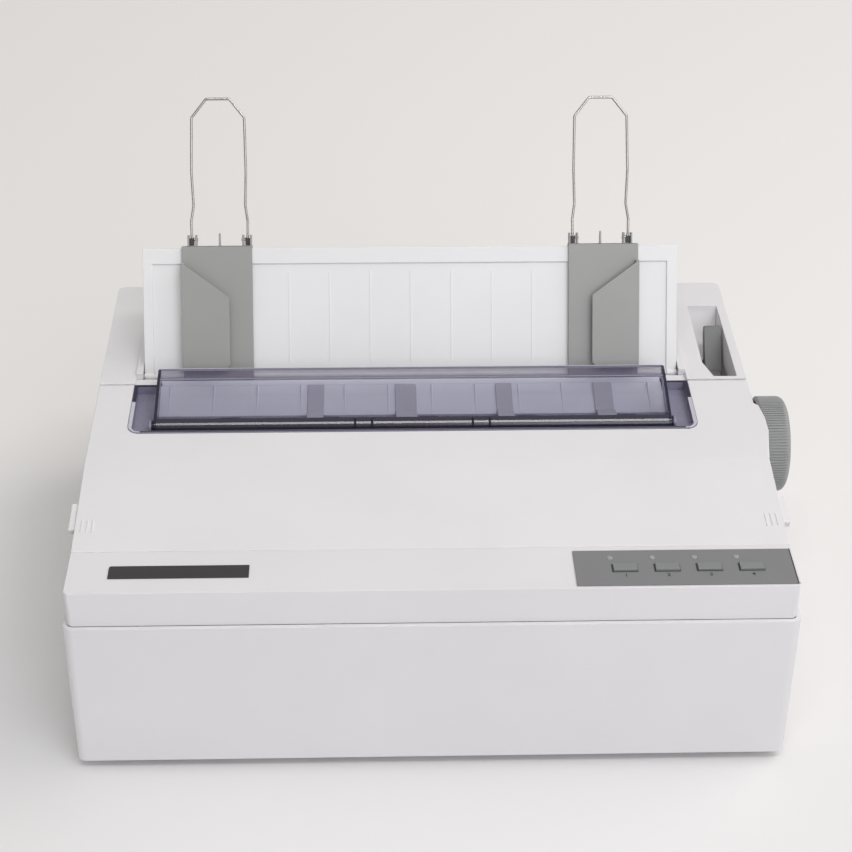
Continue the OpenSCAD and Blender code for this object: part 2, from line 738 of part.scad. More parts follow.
module right_side_frame() {
    x1 = frame_x1 + frame_t;
    at_origin() color(steel) {
        difference() {
            across(frame_x1, x1) side_plate();
            frame_holes(frame_x1);
        }
        // Post of the release lever
        bar_x(x1 - 0.01, lever_x1 + 3, lever_at, lever_post_r);
        bar_x(x1, lever_x0 - touch, lever_at, lever_post_r + 3);
        bar_x(lever_x1 + touch, lever_x1 + 2, lever_at, lever_post_r + 1.5);
        // Post of the head gap lever
        bar_x(x1 - 0.01, x1 + 8, gap_at, post_r);
        bar_x(x1, x1 + 1, gap_at, post_r + 2);
        bar_x(x1 + 6.3, x1 + 7.5, gap_at, post_r + 1.5);
    }
}

// Holes in a side frame whose left face is at x
module frame_holes(x) {
    x0 = x - over;
    x1 = x + frame_t + over;
    bar_x(x0, x1, platen_at, bush_r);
    bar_x(x0, x1, [rod_y, rod_z], rod_r + fit);
    bar_x(x0, x1, tractor_at, tractor_journal_r + fit);
    bar_x(x0, x1, tractor_rod_at, tractor_rod_r + fit);
    bar_x(x0, x1, exit_at, exit_shaft_r + fit);
}

module carriage_rod() {
    at_origin() color(steel) bar_x(frame_x0 - frame_t - 2, frame_x1 + frame_t + 2, [rod_y, rod_z], rod_r);
}

module platen_bushes() {
    at_origin() color(gear_cream) for (x = [frame_x0 - frame_t, frame_x1]) difference() {
        union() {
            bar_x(x, x + frame_t, platen_at, bush_r);
            bar_x(x < path_x ? x + frame_t : x - 2, x < path_x ? x + frame_t + 2 : x, platen_at, bush_r + 2.5);
        }
        bar_x(x - 3, x + frame_t + 3, platen_at, shaft_r + fit);
    }
}

module carriage_motor() {
    w = carriage_motor_w / 2;
    at_origin() color(steel) translate([pulley_x0, belt_y, frame_z]) {
        linear_extrude(carriage_motor_h) round_rect([-w, -w], [w, w], 4);
        cylinder(h = carriage_motor_h + 2, r = 11);
        cylinder(h = belt_z + belt_h / 2 + 3 - frame_z, r = motor_shaft_r);
    }
}

module paper_feed_motor() {
    at_origin() color(steel) {
        bar_x(frame_x0, frame_x0 + feed_motor_l, pinion_at, feed_motor_r);
        bar_x(gear_x - 2, frame_x0 + 0.01, pinion_at, motor_shaft_r);
        bar_x(frame_x0 - frame_t, frame_x0 + 0.01, pinion_at, 7);
    }
}

module main_board() {
    x = board_post[0][0];
    z = floor_z + 5;
    at_origin() color(board_green) {
        block([board_post[0][0] - 6, board_post[0][1] - 6, z],
              [board_post[3][0] + 6, board_post[3][1] + 6, z + board_t]);
        for (i = [0 : 3]) block([x + 18 + i * 40, rear_y - 64, z + board_t], [x + 40 + i * 40, rear_y - 42, z + board_t + 4]);
        for (i = [0 : 5]) bar_z(z + board_t, z + board_t + 14, x + 16 + i * 16, rear_y - 28, 5);
        block([x + 128, rear_y - 32, z + board_t], [x + 182, rear_y - 22, z + board_t + 22]);
    }
}

module power_supply() {
    z = floor_z + 3;
    at_origin() color([0.62, 0.63, 0.64]) {
        block([supply_x0, supply_y0, z], [supply_x1, supply_y1, z + 2]);
        block([supply_x0 + 8, supply_y0 + 8, z + 2], [supply_x0 + 46, supply_y0 + 34, z + 38]);
        for (i = [0 : 2]) bar_z(z + 2, z + 32, supply_x1 - 14, supply_y0 + 12 + i * 22, 9);
        block([supply_x0 + 12, supply_y0 + 46, z + 2], [supply_x0 + 56, supply_y0 + 50, z + 34]);
    }
}

module mains_inlet() {
    at_origin() color(black_plastic) difference() {
        union() {
            block([inlet_x - 13.4, case_d - 22, inlet_z - 9.9], [inlet_x + 13.4, case_d, inlet_z + 9.9]);
            block([rocker_x - rocker_w / 2 + 0.1, case_d - rocker_deep, inlet_z - rocker_h / 2 + 0.1],
                  [rocker_x + rocker_w / 2 - 0.1, case_d, inlet_z + rocker_h / 2 - 0.1]);
            block([rocker_x - rocker_w / 2 - 2, case_d, inlet_z - 13], [inlet_x + 18, case_d + inlet_flange, inlet_z + 13]);
        }
        // Bay of the rocker, with holes for its pins
        block([rocker_x - rocker_w / 2 + 1.7, case_d - rocker_deep + 1.5, inlet_z - rocker_h / 2 + 1.1],
              [rocker_x + rocker_w / 2 - 1.7, case_d + 3, inlet_z + rocker_h / 2 - 1.1]);
        bar_x(rocker_x - rocker_w / 2, rocker_x + rocker_w / 2, rocker_at, rocker_pin_r + fit);
        translate([inlet_x, 0, inlet_z]) block([-11, case_d - 14, -7.5], [11, case_d + 3, 7.5]);
    }
    at_origin() color(steel) for (x = [-5, 0, 5])
        block([inlet_x + x - 1, case_d - 15, inlet_z - 1.5 + (x == 0 ? 2.5 : 0)],
              [inlet_x + x + 1, case_d - 4, inlet_z + 1.5 + (x == 0 ? 2.5 : 0)]);
}

module parallel_port() {
    w = port_w / 2 - 0.2;
    h = port_h / 2 - 0.2;
    at_origin() color(steel) difference() {
        block([port_x - w, case_d - 16, port_z - h], [port_x + w, case_d + 1, port_z + h]);
        block([port_x - w + 6, case_d - 8, port_z - h + 2.5], [port_x + w - 6, case_d + 3, port_z + h - 2.5]);
    }
    at_origin() color(black_plastic) block([port_x - w + 11, case_d - 9, port_z - 1.5],
                                          [port_x + w - 11, case_d - 0.5, port_z + 1.5]);
}

module power_rocker() {
    // A rocker with two faces that meet in a shallow V
    at_origin() color(black_plastic)
        bar_x(rocker_x - rocker_w / 2 + 0.6, rocker_x + rocker_w / 2 - 0.6, rocker_at, rocker_pin_r);
    at_origin() color(black_plastic) across(rocker_x - rocker_w / 2 + 2, rocker_x + rocker_w / 2 - 2) union() {
        translate(rocker_at) circle(2.5);
        polygon([
            [rocker_at[0], rocker_at[1] - 3.6], [rocker_at[0] + 6.5, rocker_at[1] - 5],
            [rocker_at[0] + 5, rocker_at[1]], [rocker_at[0] + 5, rocker_at[1] + 4.2],
            [rocker_at[0], rocker_at[1] + 3.6]]);
    }
}

module tractor_rod() {
    at_origin() color(steel) bar_x(frame_x0 - frame_t - 3, frame_x1 + frame_t + 3, tractor_rod_at, tractor_rod_r);
}

module paper_chute() {
    // A trough below the platen, and a slope that leads paper in from the table and the tractors
    r = platen_r + 1.6;
    at_origin() color(black_plastic) across(frame_x0, frame_x1) {
        difference() {
            translate(platen_at) circle(r + 1.8);
            translate(platen_at) circle(r);
            translate(platen_at) polygon([[-60, 60], [-60, -7], [-6, -7], [0, 0], [6, -1.5], [60, 6], [60, 60]]);
        }
        polygon([
            platen_at + [r, -2], platen_at + [r + 1.8, -2],
            table_foot + [-8, -12], table_foot + [-9.4, -10.6]]);
    }
}

module exit_guide() {
    // White ribbed plate that printed paper slides up over
    p0 = [platen_y + 6, platen_z + platen_r + 3];
    p1 = [cover_y + 1, skirt_z + 1.2];
    p2 = [guide_end_y, p1[1] + (guide_end_y - p1[0]) * (p1[1] - p0[1]) / (p1[0] - p0[0])];
    at_origin() color(table_white) {
        across(frame_x0, frame_x1) polygon([p0, p1, p1 + [0, 2], p0 + [0, 2]]);
        // Upper end of the plate, between the two ledges
        across(well_x0 + ledge_w + 2, well_x1 - ledge_w - 2)
            polygon([p1 - [2, 0.45], p2, p2 + [0, 2], p1 + [-2, 1.55]]);
        for (i = [0 : exit_ribs - 1]) {
            x = path_x - 1.2 + (i - (exit_ribs - 1) / 2) * exit_rib_pitch;
            across(x - 0.5, x + 0.5)
                polygon([p0 + [1, 1.9], p2 + [-0.5, 1.9], p2 + [-1, 3], p0 + [6, 3.6], p0 + [1, 2.4]]);
        }
        // Tabs on the side frames
        for (x = [frame_x0, frame_x1 - 2]) across(x, x + 2)
            polygon([p0 + [2, 0.5], p0 + [14, 1], platen_at + [22, 12], platen_at + [14, 14]]);
    }
}

module exit_rollers() {
    at_origin() {
        color(steel) bar_x(frame_x0 - frame_t - 1.5, frame_x1 + frame_t + 1.5, exit_at, exit_shaft_r);
        color(dark_rubber) for (i = [-2 : 2]) {
            x = path_x + i * 62 + 10;
            difference() {
                bar_x(x - 6, x + 6, exit_at, exit_roller_r);
                bar_x(x - 7, x + 7, exit_at, exit_shaft_r - 0.01);
            }
        }
    }
}

module cover_hinge_pins() {
    at_origin() color(steel) for (x = hinge_x)
        bar_x(x - hinge_eye_w / 2 - 2.6, x + hinge_eye_w / 2 + 2.6, hinge_at, hinge_r);
}

module drive_belt() {
    r = pulley_r + touch;
    at_origin() color(black_plastic) translate([0, 0, belt_z - belt_h / 2]) linear_extrude(belt_h) difference() {
        belt_loop(r + belt_t);
        belt_loop(r);
    }
}

module belt_loop(r) {
    translate([pulley_x0, belt_y]) circle(r);
    translate([pulley_x1, belt_y]) circle(r);
    translate([pulley_x0, belt_y - r]) square([pulley_x1 - pulley_x0, 2 * r]);
}

module pulley(x, bore) {
    at_origin() color(gear_cream) translate([x, belt_y, 0]) difference() {
        union() {
            translate([0, 0, belt_z - belt_h / 2]) cylinder(h = belt_h, r = pulley_r);
            translate([0, 0, belt_z - belt_h / 2 - 1.5]) cylinder(h = 1.2, r = pulley_r + 1.6);
            translate([0, 0, belt_z - belt_h / 2 - 0.31]) cylinder(h = 0.32, r = pulley_r - 1);
        }
        translate([0, 0, belt_z - belt_h]) cylinder(h = 2 * belt_h, r = bore);
    }
}
module motor_pulley() { pulley(pulley_x0, motor_shaft_r + fit); }
module idler_pulley() { pulley(pulley_x1, motor_shaft_r + fit); }

// ---- Cover, tray and lid ----

module cover_outline() {
    polygon([
        [seam_y + cover_gap, seam_z], [ridge_y, ridge_z],
        [cover_y - 0.8, cover_top(cover_y - 0.8)], [cover_y, cover_z - 0.8], [cover_y, cover_z - cover_t], [ridge_y, ridge_z - cover_t], [seam_y + cover_gap, seam_z - cover_t]]);
}

module front_cover() {
    at_origin() color(shell_white) {
        difference() {
            union() {
                across(-upper_hw, upper_hw) cover_outline();
                // Stiffening ribs just inside the case's side walls
                for (s = [-1, 1]) across(s > 0 ? inner_hw - 5 : -inner_hw + 3, s > 0 ? inner_hw - 3 : -inner_hw + 5)
                    polygon([
                        [seam_y + 8, cover_top(seam_y + 8) - cover_t + 0.5], [ridge_y, ridge_z - cover_t + 0.5],
                        [tray_y0 - 6, cover_top(tray_y0) - cover_t + 0.3], [tray_y0 - 6, cover_top(tray_y0) - cover_t - 4],
                        [ridge_y, ridge_z - cover_t - 6], [seam_y + 8, cover_top(seam_y + 8) - cover_t - 4]]);
                // Eyes of the hinge
                for (x = hinge_x) across(x - hinge_eye_w / 2, x + hinge_eye_w / 2) union() {
                    translate(hinge_at) circle(hinge_eye_r);
                    translate(hinge_at + [-hinge_eye_r - 4, -1]) square([hinge_eye_r + 4, 2.6]);
                }
                // Finger grips that stand out at both sides
                for (s = [-1, 1]) {
                    across(s > 0 ? upper_hw - 1 : -upper_hw - grip_out, s > 0 ? upper_hw + grip_out : -upper_hw + 1)
                        polygon([
                            [grip_y0, cover_top(grip_y0) - 1.2], [grip_y1, cover_top(grip_y1) - 1.2],
                            [grip_y1, cover_top(grip_y1) - cover_t], [grip_y0, cover_top(grip_y0) - cover_t]]);
                    across(s > 0 ? upper_hw + touch : -upper_hw - grip_out, s > 0 ? upper_hw + grip_out : -upper_hw - touch)
                        polygon([
                            [grip_y0, cover_top(grip_y0) - 1.2], [grip_y1, cover_top(grip_y1) - 1.2],
                            [grip_y1 - 2, cover_top(grip_y1) - 7.1], [grip_y0 + 2, cover_top(grip_y0) - 6.7]]);
                }
                // Three short ribs beside each grip
                for (s = [-1, 1], i = [0 : 2]) across(s * (upper_hw - 7.1) - 3.7 + i * 3.2, s * (upper_hw - 7.1) - 2.7 + i * 3.2)
                    polygon([
                        [rib_y0, cover_top(rib_y0) - 1], [rib_y0 + 10, cover_top(rib_y0 + 10) - 1],
                        [rib_y0 + 10, cover_top(rib_y0 + 10) + 0.4], [rib_y0, cover_top(rib_y0) + 0.4]]);
            }
            // Notch for the smoked tray
            translate([0, 0, cover_z - 30]) linear_extrude(60) tray_plan(0);
            for (x = hinge_x) bar_x(x - hinge_eye_w, x + hinge_eye_w, hinge_at, hinge_r + fit);
            // Room for the case's own hinge ears
            for (x = hinge_x, s = [-1, 1]) translate([x + s * (hinge_eye_w / 2 + 1.4), 0, 0])
                across(-1 - touch, 1 + touch) translate(hinge_at) polygon([
                    [-3.4, -7], [7, -7], [7, ear_r + touch], [-3.4, ear_r + touch]]);
        }
    }
}

// Outline of the tray, open to the rear
module tray_plan(inset) {
    difference() {
        round_rect([tray_x0 + inset, tray_y0 + inset], [tray_x1 - inset, cover_y + 20], tray_r - min(inset, 4));
        translate([tray_x0 - over, cover_y - (inset > 0 ? 1.2 : -over)]) square([tray_x1 - tray_x0 + 2 * over, 60]);
    }
}

module tray_slab(inset, low, high) {
    intersection() {
        translate([0, 0, cover_z - 30]) linear_extrude(60) tray_plan(inset);
        across(tray_x0, tray_x1) polygon([
            [tray_y0, cover_top(tray_y0) + low], [cover_y + over, cover_top(cover_y + over) + low],
            [cover_y + over, cover_top(cover_y + over) + high], [tray_y0, cover_top(tray_y0) + high]]);
    }
}

module smoke_tray() {
    opening = lid_hw + 1.2;
    at_origin() color(smoke) {
        difference() {
            tray_slab(0.2, -tray_deep - tray_floor, 0.4);
            tray_slab(tray_rim, -tray_deep, 3);
            // The way through for the paper, below the lid
            block([path_x - opening, lid_pivot[0] - lid_roll_r - 0.6, cover_z - 30],
                  [path_x + opening, cover_y + over, cover_z + 30]);
        }
        // Cheeks that carry the lid's pins
        for (s = [-1, 1]) translate([path_x + s * (lid_hw + lid_pin_l - 1), 0, 0]) difference() {
            across(-1, 1) union() {
                translate(lid_pivot) circle(4);
                translate(lid_pivot - [4, 5]) square([8, 5]);
            }
            bar_x(-2, 2, lid_pivot, lid_pin_r + fit);
        }
    }
}

module lid_profile() {
    outer = lid_roll_r;
    inner = lid_roll_r - lid_t;
    rise = atan2(lid_fold[1] - lid_pivot[1] - outer, lid_fold[0] - lid_pivot[0]);
    n = [-sin(rise), cos(rise)];
    translate(lid_pivot) difference() {
        circle(outer);
        circle(inner);
        polygon([[0, 0], 30 * [cos(rise + 90), sin(rise + 90)], [30, 30], [30, -30], [0, -30]]);
    }
    polygon([lid_pivot + outer * n, lid_fold, lid_fold - lid_t * n, lid_pivot + inner * n]);
    polygon([lid_fold, lid_end, lid_end - [0, lid_t], lid_fold - lid_t * n]);
}

module smoke_lid() {
    x0 = path_x - lid_hw;
    x1 = path_x + lid_hw;
    at_origin() color(smoke) {
        across(x0, x1) lid_profile();
        // Side cheeks with the pivot pins
        for (s = [-1, 1]) translate([path_x + s * (lid_hw - lid_t / 2), 0, 0]) across(-lid_t / 2, lid_t / 2) union() {
            translate(lid_pivot) circle(lid_roll_r - 0.2);
            polygon([
                lid_pivot + [-1, lid_roll_r - 1], lid_fold - [0.5, 0.5], lid_end - [0.5, 0.6],
                lid_end - [2, 5], lid_pivot + [30, 4.5], lid_pivot + [2, -lid_roll_r + 0.4]]);
        }
        bar_x(x0 - lid_pin_l, x0 + over, lid_pivot, lid_pin_r);
        bar_x(x1 - over, x1 + lid_pin_l, lid_pivot, lid_pin_r);
        // Two pairs of short ribs across the roll
        for (x = [path_x - 36, path_x - 25.5, path_x + 36.5, path_x + 47]) across(x - 0.7, x + 0.7) difference() {
            translate(lid_pivot) circle(lid_roll_r + 0.5);
            translate(lid_pivot) circle(lid_roll_r - over);
            translate(lid_pivot) polygon([[0, 0], [0, 30], [30, 30], [30, -30], [-30, -30], [-30, -8]]);
        }
    }
}

// ---- Paper table, sheet guides and wires ----

module paper_table() {
    at_origin() color(table_white) {
        difference() {
            union() {
                on_table() block([table_x0, table_low, -table_t], [table_x1, table_high, 0]);
                bar_x(table_x0, table_x0 + 6, table_pin, table_pin_r + 1.2);
                bar_x(table_x1 - 6, table_x1, table_pin, table_pin_r + 1.2);
            }
            // The panel is set back inside a narrow border
            on_table() block([table_x0 + 6, table_low - over, -table_rim], [table_x1 - 6.5, table_high - 10, over]);
        }
        bar_x(well_x0 - wall + touch, well_x1 + wall - touch, table_pin, table_pin_r);
        on_table() {
            // Ribs on the face
            for (i = [-3 : 3])
                block([path_x + i * rib_pitch - 0.5, 8, -table_rim - 0.5], [path_x + i * rib_pitch + 0.5, 66, 0]);
            // Small paper marks along the upper border
            for (i = [0 : 8]) block([path_x - 69.5 + i * 16.8, table_high - 9.5, -0.5],
                                         [path_x - 68.5 + i * 16.8, table_high - 8.3, 0.15]);
            // Stiffening ribs behind
            for (x = [table_x0 + 20, path_x, table_x1 - 22])
                block([x, 6, -table_t - 3], [x + 2, table_high - hook_drop - 8, -table_t + 0.5]);
            block([table_x0 + 20, 6, -table_t - 3], [table_x1 - 20, 8, -table_t + 0.5]);
        }
    }
}

module sheet_guide(side) {
    x = path_x + side * guide_span / 2;
    outer = x + side * guide_w / 2;
    inner = x - side * guide_w / 2;
    edge = outer - side * flange_w;
    face = guide_t + touch;
    lo = min(outer, inner);
    hi = max(outer, inner);
    at_origin() color(guide_grey) on_table() {
        block([lo, guide_low, touch], [hi, guide_top, face]);
        // Outer wall and the folded front flange with its slanted shoulder
        block([min(outer, outer - side * guide_t), flange_low - 3, touch], [max(outer, outer - side * guide_t), table_high - 9, guide_d - 0.5]);
        translate([0, 0, guide_d - flange_t]) linear_extrude(flange_t) polygon([
            [outer, flange_low - 3], [edge - side * -3, flange_low - 3], [edge, flange_low],
            [edge, flange_shoulder], [outer, table_high - 9]]);
        // Bridge over the top edge, and the hook behind the table
        block([lo, table_high + touch, -table_t - touch - 1.6], [hi, guide_top, face]);
        block([lo, table_high - hook_drop, -table_t - touch - 1.6], [hi, guide_top, -table_t - touch]);
        // Thin cheeks at both sides of each leg of the wire, and a fin midway
        for (d = [-1, 1], c = [[-3.4, -2.2], [1.5, 2.6]]) difference() {
            block([wire_mid(side) + min(d * (wire_w / 2 + c[0]), d * (wire_w / 2 + c[1])), guide_top - 0.01, wire_pin_n - 3],
                  [wire_mid(side) + max(d * (wire_w / 2 + c[0]), d * (wire_w / 2 + c[1])), wire_pin_s + 3, wire_pin_n + 3]);
            translate([0, wire_pin_s, wire_pin_n]) rotate([0, 90, 0])
                translate([0, 0, wire_mid(side) + d * wire_w / 2 - 5]) cylinder(h = 10, r = wire_r + fit);
        }
        translate([wire_mid(side) - 0.6, 0, wire_pin_n]) rotate([90, 0, 90])
            linear_extrude(1.2) polygon([[guide_top - 0.01, -2.5], [guide_top - 0.01, 2.5], [guide_top + 8, 0.6], [guide_top + 8, -0.6]]);
    }
}
function wire_mid(side) = path_x + side * (guide_span / 2 - 1.8);
module sheet_guide_left() { sheet_guide(-1); }
module sheet_guide_right() { sheet_guide(1); }

module wire_support(side) {
    x = wire_mid(side);
    h = wire_w / 2;
    s = wire_pin_s;
    n = wire_pin_n;
    // Half of the loop, from the pin up; the other half is its mirror image
    leg = [[h - 4, s, n], [h, s, n], [h + 0.2, s + 11.3, n], [h - 1.3, s + 21.4, n - 1.6], [h - 0.5, s + 42.6, n + 0.6],
           [h - 1.1, s + wire_h - 17.4, n], [h - 10.4, s + wire_h - 5.7, n]];
    last = len(leg) - 1;
    at_origin() color(steel) on_table() translate([x, 0, 0]) bent_wire(
        concat(leg, [for (i = [last : -1 : 0]) [-leg[i][0], leg[i][1], leg[i][2]]]), wire_r);
}
module wire_support_left() { wire_support(-1); }
module wire_support_right() { wire_support(1); }

// ---- Platen and gears ----

module platen_roller() {
    at_origin() color(dark_rubber) difference() {
        bar_x(frame_x0 + roller_end, frame_x1 - roller_end, platen_at, platen_r);
        bar_x(frame_x0, frame_x1, platen_at, shaft_r);
    }
}

module platen_shaft() {
    at_origin() color(steel) bar_x(gear_x - 3, knob_x1 - 4, platen_at, shaft_r);
}

module platen_gear() { at_origin() color(gear_cream) feed_gear(platen_at, platen_teeth, platen_turn, shaft_r); }

module platen_knob() {
    at_origin() color(knob_grey) difference() {
        union() {
            bar_x(knob_x0, knob_x1 - 3, platen_at, knob_r);
            bar_x(knob_x1 - 3.01, knob_x1, platen_at, knob_r - 1.6);
        }
        difference() {
            bar_x(knob_x1 - 5, knob_x1 + over, platen_at, knob_r - 6);
            bar_x(knob_x1 - 6, knob_x1 - 2, platen_at, shaft_r + 6);
        }
        bar_x(knob_x0 - over, knob_x1 - 4, platen_at, shaft_r);
        difference() {
            bar_x(knob_x0 - over, knob_x0 + 9, platen_at, knob_r - 3);
            bar_x(knob_x0 - 2, knob_x0 + 10, platen_at, shaft_r + 4);
        }
    }
}

module motor_pinion() { at_origin() color(gear_cream) feed_gear(pinion_at, pinion_teeth, pinion_turn, motor_shaft_r + fit); }
module feed_idler() { at_origin() color(gear_cream) feed_gear(idler_at, idler_teeth, idler_turn, idler_bore); }
module tractor_idler_front() { at_origin() color(gear_cream) feed_gear(chain1_at, chain_teeth, chain1_turn, idler_bore); }
module tractor_idler_rear() { at_origin() color(gear_cream) feed_gear(chain2_at, chain_teeth, chain2_turn, idler_bore); }

// ---- Tractors ----

module tractor_shaft() {
    at_origin() color(steel) {
        across(frame_x0 + 2, frame_x1 - 2) translate(tractor_at) square(tractor_shaft_s, center = true);
        bar_x(gear_x - 2, frame_x0 + 2.01, tractor_at, tractor_journal_r);
        bar_x(frame_x1 - 2.01, frame_x1 + frame_t + 2, tractor_at, tractor_journal_r);
    }
}

module tractor_gear() {
    at_origin() color(gear_cream) feed_gear(tractor_at, tractor_teeth, tractor_turn, tractor_journal_r);
}

function tractor_x(side) = path_x + side * tractor_span / 2;
function door_hinge(side) = [tractor_y1 - 3, tractor_z1 + 2.2];

module tractor(side) {
    x0 = tractor_x(side) - tractor_w / 2;
    x1 = tractor_x(side) + tractor_w / 2;
    at_origin() color(black_plastic) {
        difference() {
            union() {
                across(x0, x1) round_rect([tractor_y0, tractor_z0], [tractor_y1, tractor_z1], 8);
                // Ears of the door at the rear
                for (x = [x0, x1 - 2]) across(x, x + 2) union() {
                    translate(door_hinge(side)) circle(2.6);
                    translate([door_hinge(side)[0] - 2.6, tractor_z1 - 6]) square([5.2, 8.2]);
                }
            }
            bar_x(x0 - over, x1 + over, tractor_at, tractor_shaft_s * 0.72);
            bar_x(x0 - over, x1 + over, tractor_rod_at, tractor_rod_r + fit);
            for (x = [x0 - over, x1 - 2 - over]) bar_x(x, x + 4, door_hinge(side), 1.25);
        }
        // Pins of the feed belt, half an inch apart
        for (i = [0 : 2]) bar_z(tractor_z1 - 0.5, tractor_z1 + 1.5, tractor_x(side), tractor_y0 + 9 + i * 12.7, 1.6);
    }
}
module tractor_left() { tractor(-1); }
module tractor_right() { tractor(1); }

module tractor_door(side) {
    x0 = tractor_x(side) - tractor_w / 2 + 2 + touch;
    x1 = tractor_x(side) + tractor_w / 2 - 2 - touch;
    y0 = tractor_y0 + 4;
    z0 = tractor_z1 + 2;
    at_origin() color(guide_grey) difference() {
        union() {
            block([x0, y0, z0], [x1, door_hinge(side)[0], z0 + door_t]);
            bar_x(x0, x1, door_hinge(side), 2.2);
            bar_x(x0 - 2, x1 + 2, door_hinge(side), 1.2);
            block([x0 - 1, y0 - 2, z0], [x1 + 1, y0 + 3, z0 + door_t + 1]);
        }
        for (i = [0 : 2]) bar_z(z0 - over, z0 + door_t + over, tractor_x(side), tractor_y0 + 9 + i * 12.7, 2.6);
        block([x0 - 2, door_hinge(side)[0] - 3, tractor_z1 - 3], [x1 + 2, door_hinge(side)[0] + 3, tractor_z1]);
    }
}
module tractor_door_left() { tractor_door(-1); }
module tractor_door_right() { tractor_door(1); }

// ---- Carriage ----

module print_carriage() {
    hw = carriage_hw;
    at_origin() color(black_plastic) translate([path_x, 0, 0]) difference() {
        union() {
            block([-hw, carriage_y0, carriage_z0], [hw, carriage_y1, carriage_z1]);
            // Foot that slides on the rail
            block([-10, rail_y - 8, rail_z + touch], [10, carriage_y0 + 1, rail_z + 4]);
            // Clip that holds the rear run of the belt
            block([-8, belt_y + pulley_r - 3, belt_z - belt_h / 2 - 2], [8, belt_y + pulley_r + belt_t + 4, carriage_z0 + 1]);
            // Shelf that carries the ribbon cartridge
            block([-cartridge_hw + 4, cartridge_y0 + 6, carriage_z1], [cartridge_hw - 4, carriage_y0 + 6, cartridge_z0]);
        }
        bar_x(-hw - over, hw + over, [rod_y, rod_z], rod_r + fit);
        block([-9, belt_y + pulley_r - touch, belt_z - belt_h / 2 - touch],
              [9, belt_y + pulley_r + belt_t + 2 * touch, belt_z + belt_h / 2 + touch]);
    }
}

module print_head() {
    head_y0 = carriage_y0 + 7;
    nose_y = platen_y - platen_r - head_gap;
    top = platen_z + 14;
    at_origin() color([0.42, 0.43, 0.45]) translate([path_x, 0, 0]) {
        block([-19, head_y0, carriage_z1], [19, carriage_y1 - 2, carriage_z1 + 4]);
        // Round pin housing with cooling fins
        bar_y(head_y0 + 2, head_y0 + 26, 0, platen_z + 1, 13);
        for (i = [0 : 4]) translate([0, head_y0 + 3 + i * 4.6, 0])
            block([-20, 0, carriage_z1 + 3.9], [20, 1.8, top]);
        // Nose that guides the pins to the paper
        block([-5, head_y0 + 24, platen_z - 7], [5, nose_y - 6, platen_z + 7]);
        translate([-4, 0, 0]) rotate([90, 0, 90]) linear_extrude(8) polygon([
            [nose_y - 6.5, platen_z - 7], [nose_y, platen_z - 4], [nose_y, platen_z + 4], [nose_y - 6.5, platen_z + 7]]);
    }
}

module ribbon_cartridge() {
    hw = cartridge_hw;
    z0 = cartridge_z0;
    at_origin() color(black_plastic) translate([path_x, 0, 0]) {
        difference() {
            translate([0, 0, z0]) linear_extrude(cartridge_h) round_rect([-hw, cartridge_y0], [hw, cartridge_y1], 5);
            translate([0, 0, z0 + 3]) linear_extrude(cartridge_h - 5) round_rect([-hw + 2, cartridge_y0 + 2], [hw - 2, cartridge_y1 - 2], 3);
            bar_z(z0 + cartridge_h - 3, z0 + cartridge_h + over, ribbon_knob_at[0] - path_x, ribbon_knob_at[1], 3 + fit);
        }
        // Arms that lead the ribbon past the print head
        for (s = [-1, 1]) difference() {
            translate([0, 0, z0 + 1]) linear_extrude(12) polygon([
                [s * hw, cartridge_y1 - 8], [s * hw, platen_y - platen_r - 14], [s * 12, platen_y - platen_r - 3.2],
                [s * 9, platen_y - platen_r - 5.2], [s * (hw - 6), platen_y - platen_r - 17], [s * (hw - 6), cartridge_y1 - 8]]);
        }
        // The ribbon stretched between the arms
        block([-12, platen_y - platen_r - 4.4, z0 + 2], [-7, platen_y - platen_r - 3.4, z0 + 11]);
        block([7, platen_y - platen_r - 4.4, z0 + 2], [12, platen_y - platen_r - 3.4, z0 + 11]);
    }
}

module ribbon_knob() {
    z = cartridge_z0 + cartridge_h;
    at_origin() color(guide_grey) {
        bar_z(z - 4, z + touch + 0.01, ribbon_knob_at[0], ribbon_knob_at[1], 3);
        bar_z(z + touch, z + 4, ribbon_knob_at[0], ribbon_knob_at[1], ribbon_knob_r);
        translate([ribbon_knob_at[0], ribbon_knob_at[1], 0]) block([-1, -ribbon_knob_r + 1, z + 3.9], [1, ribbon_knob_r - 1, z + 5.2]);
    }
}

// ---- Levers ----

module release_lever() {
    tip = lever_reach;
    at_origin() color(guide_grey) difference() {
        union() {
            bar_x(lever_x0, lever_x1, lever_at, lever_post_r + 3);
            across(lever_x0, lever_x1) translate(lever_at) rotate(lever_lean) polygon([
                [0, -4], [tip - 3, -3.4], [tip, -1.5], [tip, 1.5], [tip - 1.5, 3.4], [0, 5]]);
        }
        bar_x(lever_x0 - over, lever_x1 + over, lever_at, lever_post_r + fit);
    }
}

module gap_lever() {
    x0 = frame_x1 + frame_t + 1 + touch;
    at_origin() color([0.2, 0.45, 0.62]) difference() {
        union() {
            bar_x(x0, x0 + 4.4, gap_at, post_r + 3);
            across(x0, x0 + 4.4) translate(gap_at) rotate(70) polygon([[0, -2.5], [gap_reach, -2], [gap_reach, 2], [0, 2.5]]);
            across(x0, x0 + 8) translate(gap_at) rotate(70) polygon([[gap_reach - 9, -3], [gap_reach, -3], [gap_reach, 3], [gap_reach - 9, 3]]);
        }
        bar_x(x0 - over, x0 + 4.4 + over, gap_at, post_r + fit);
    }
}

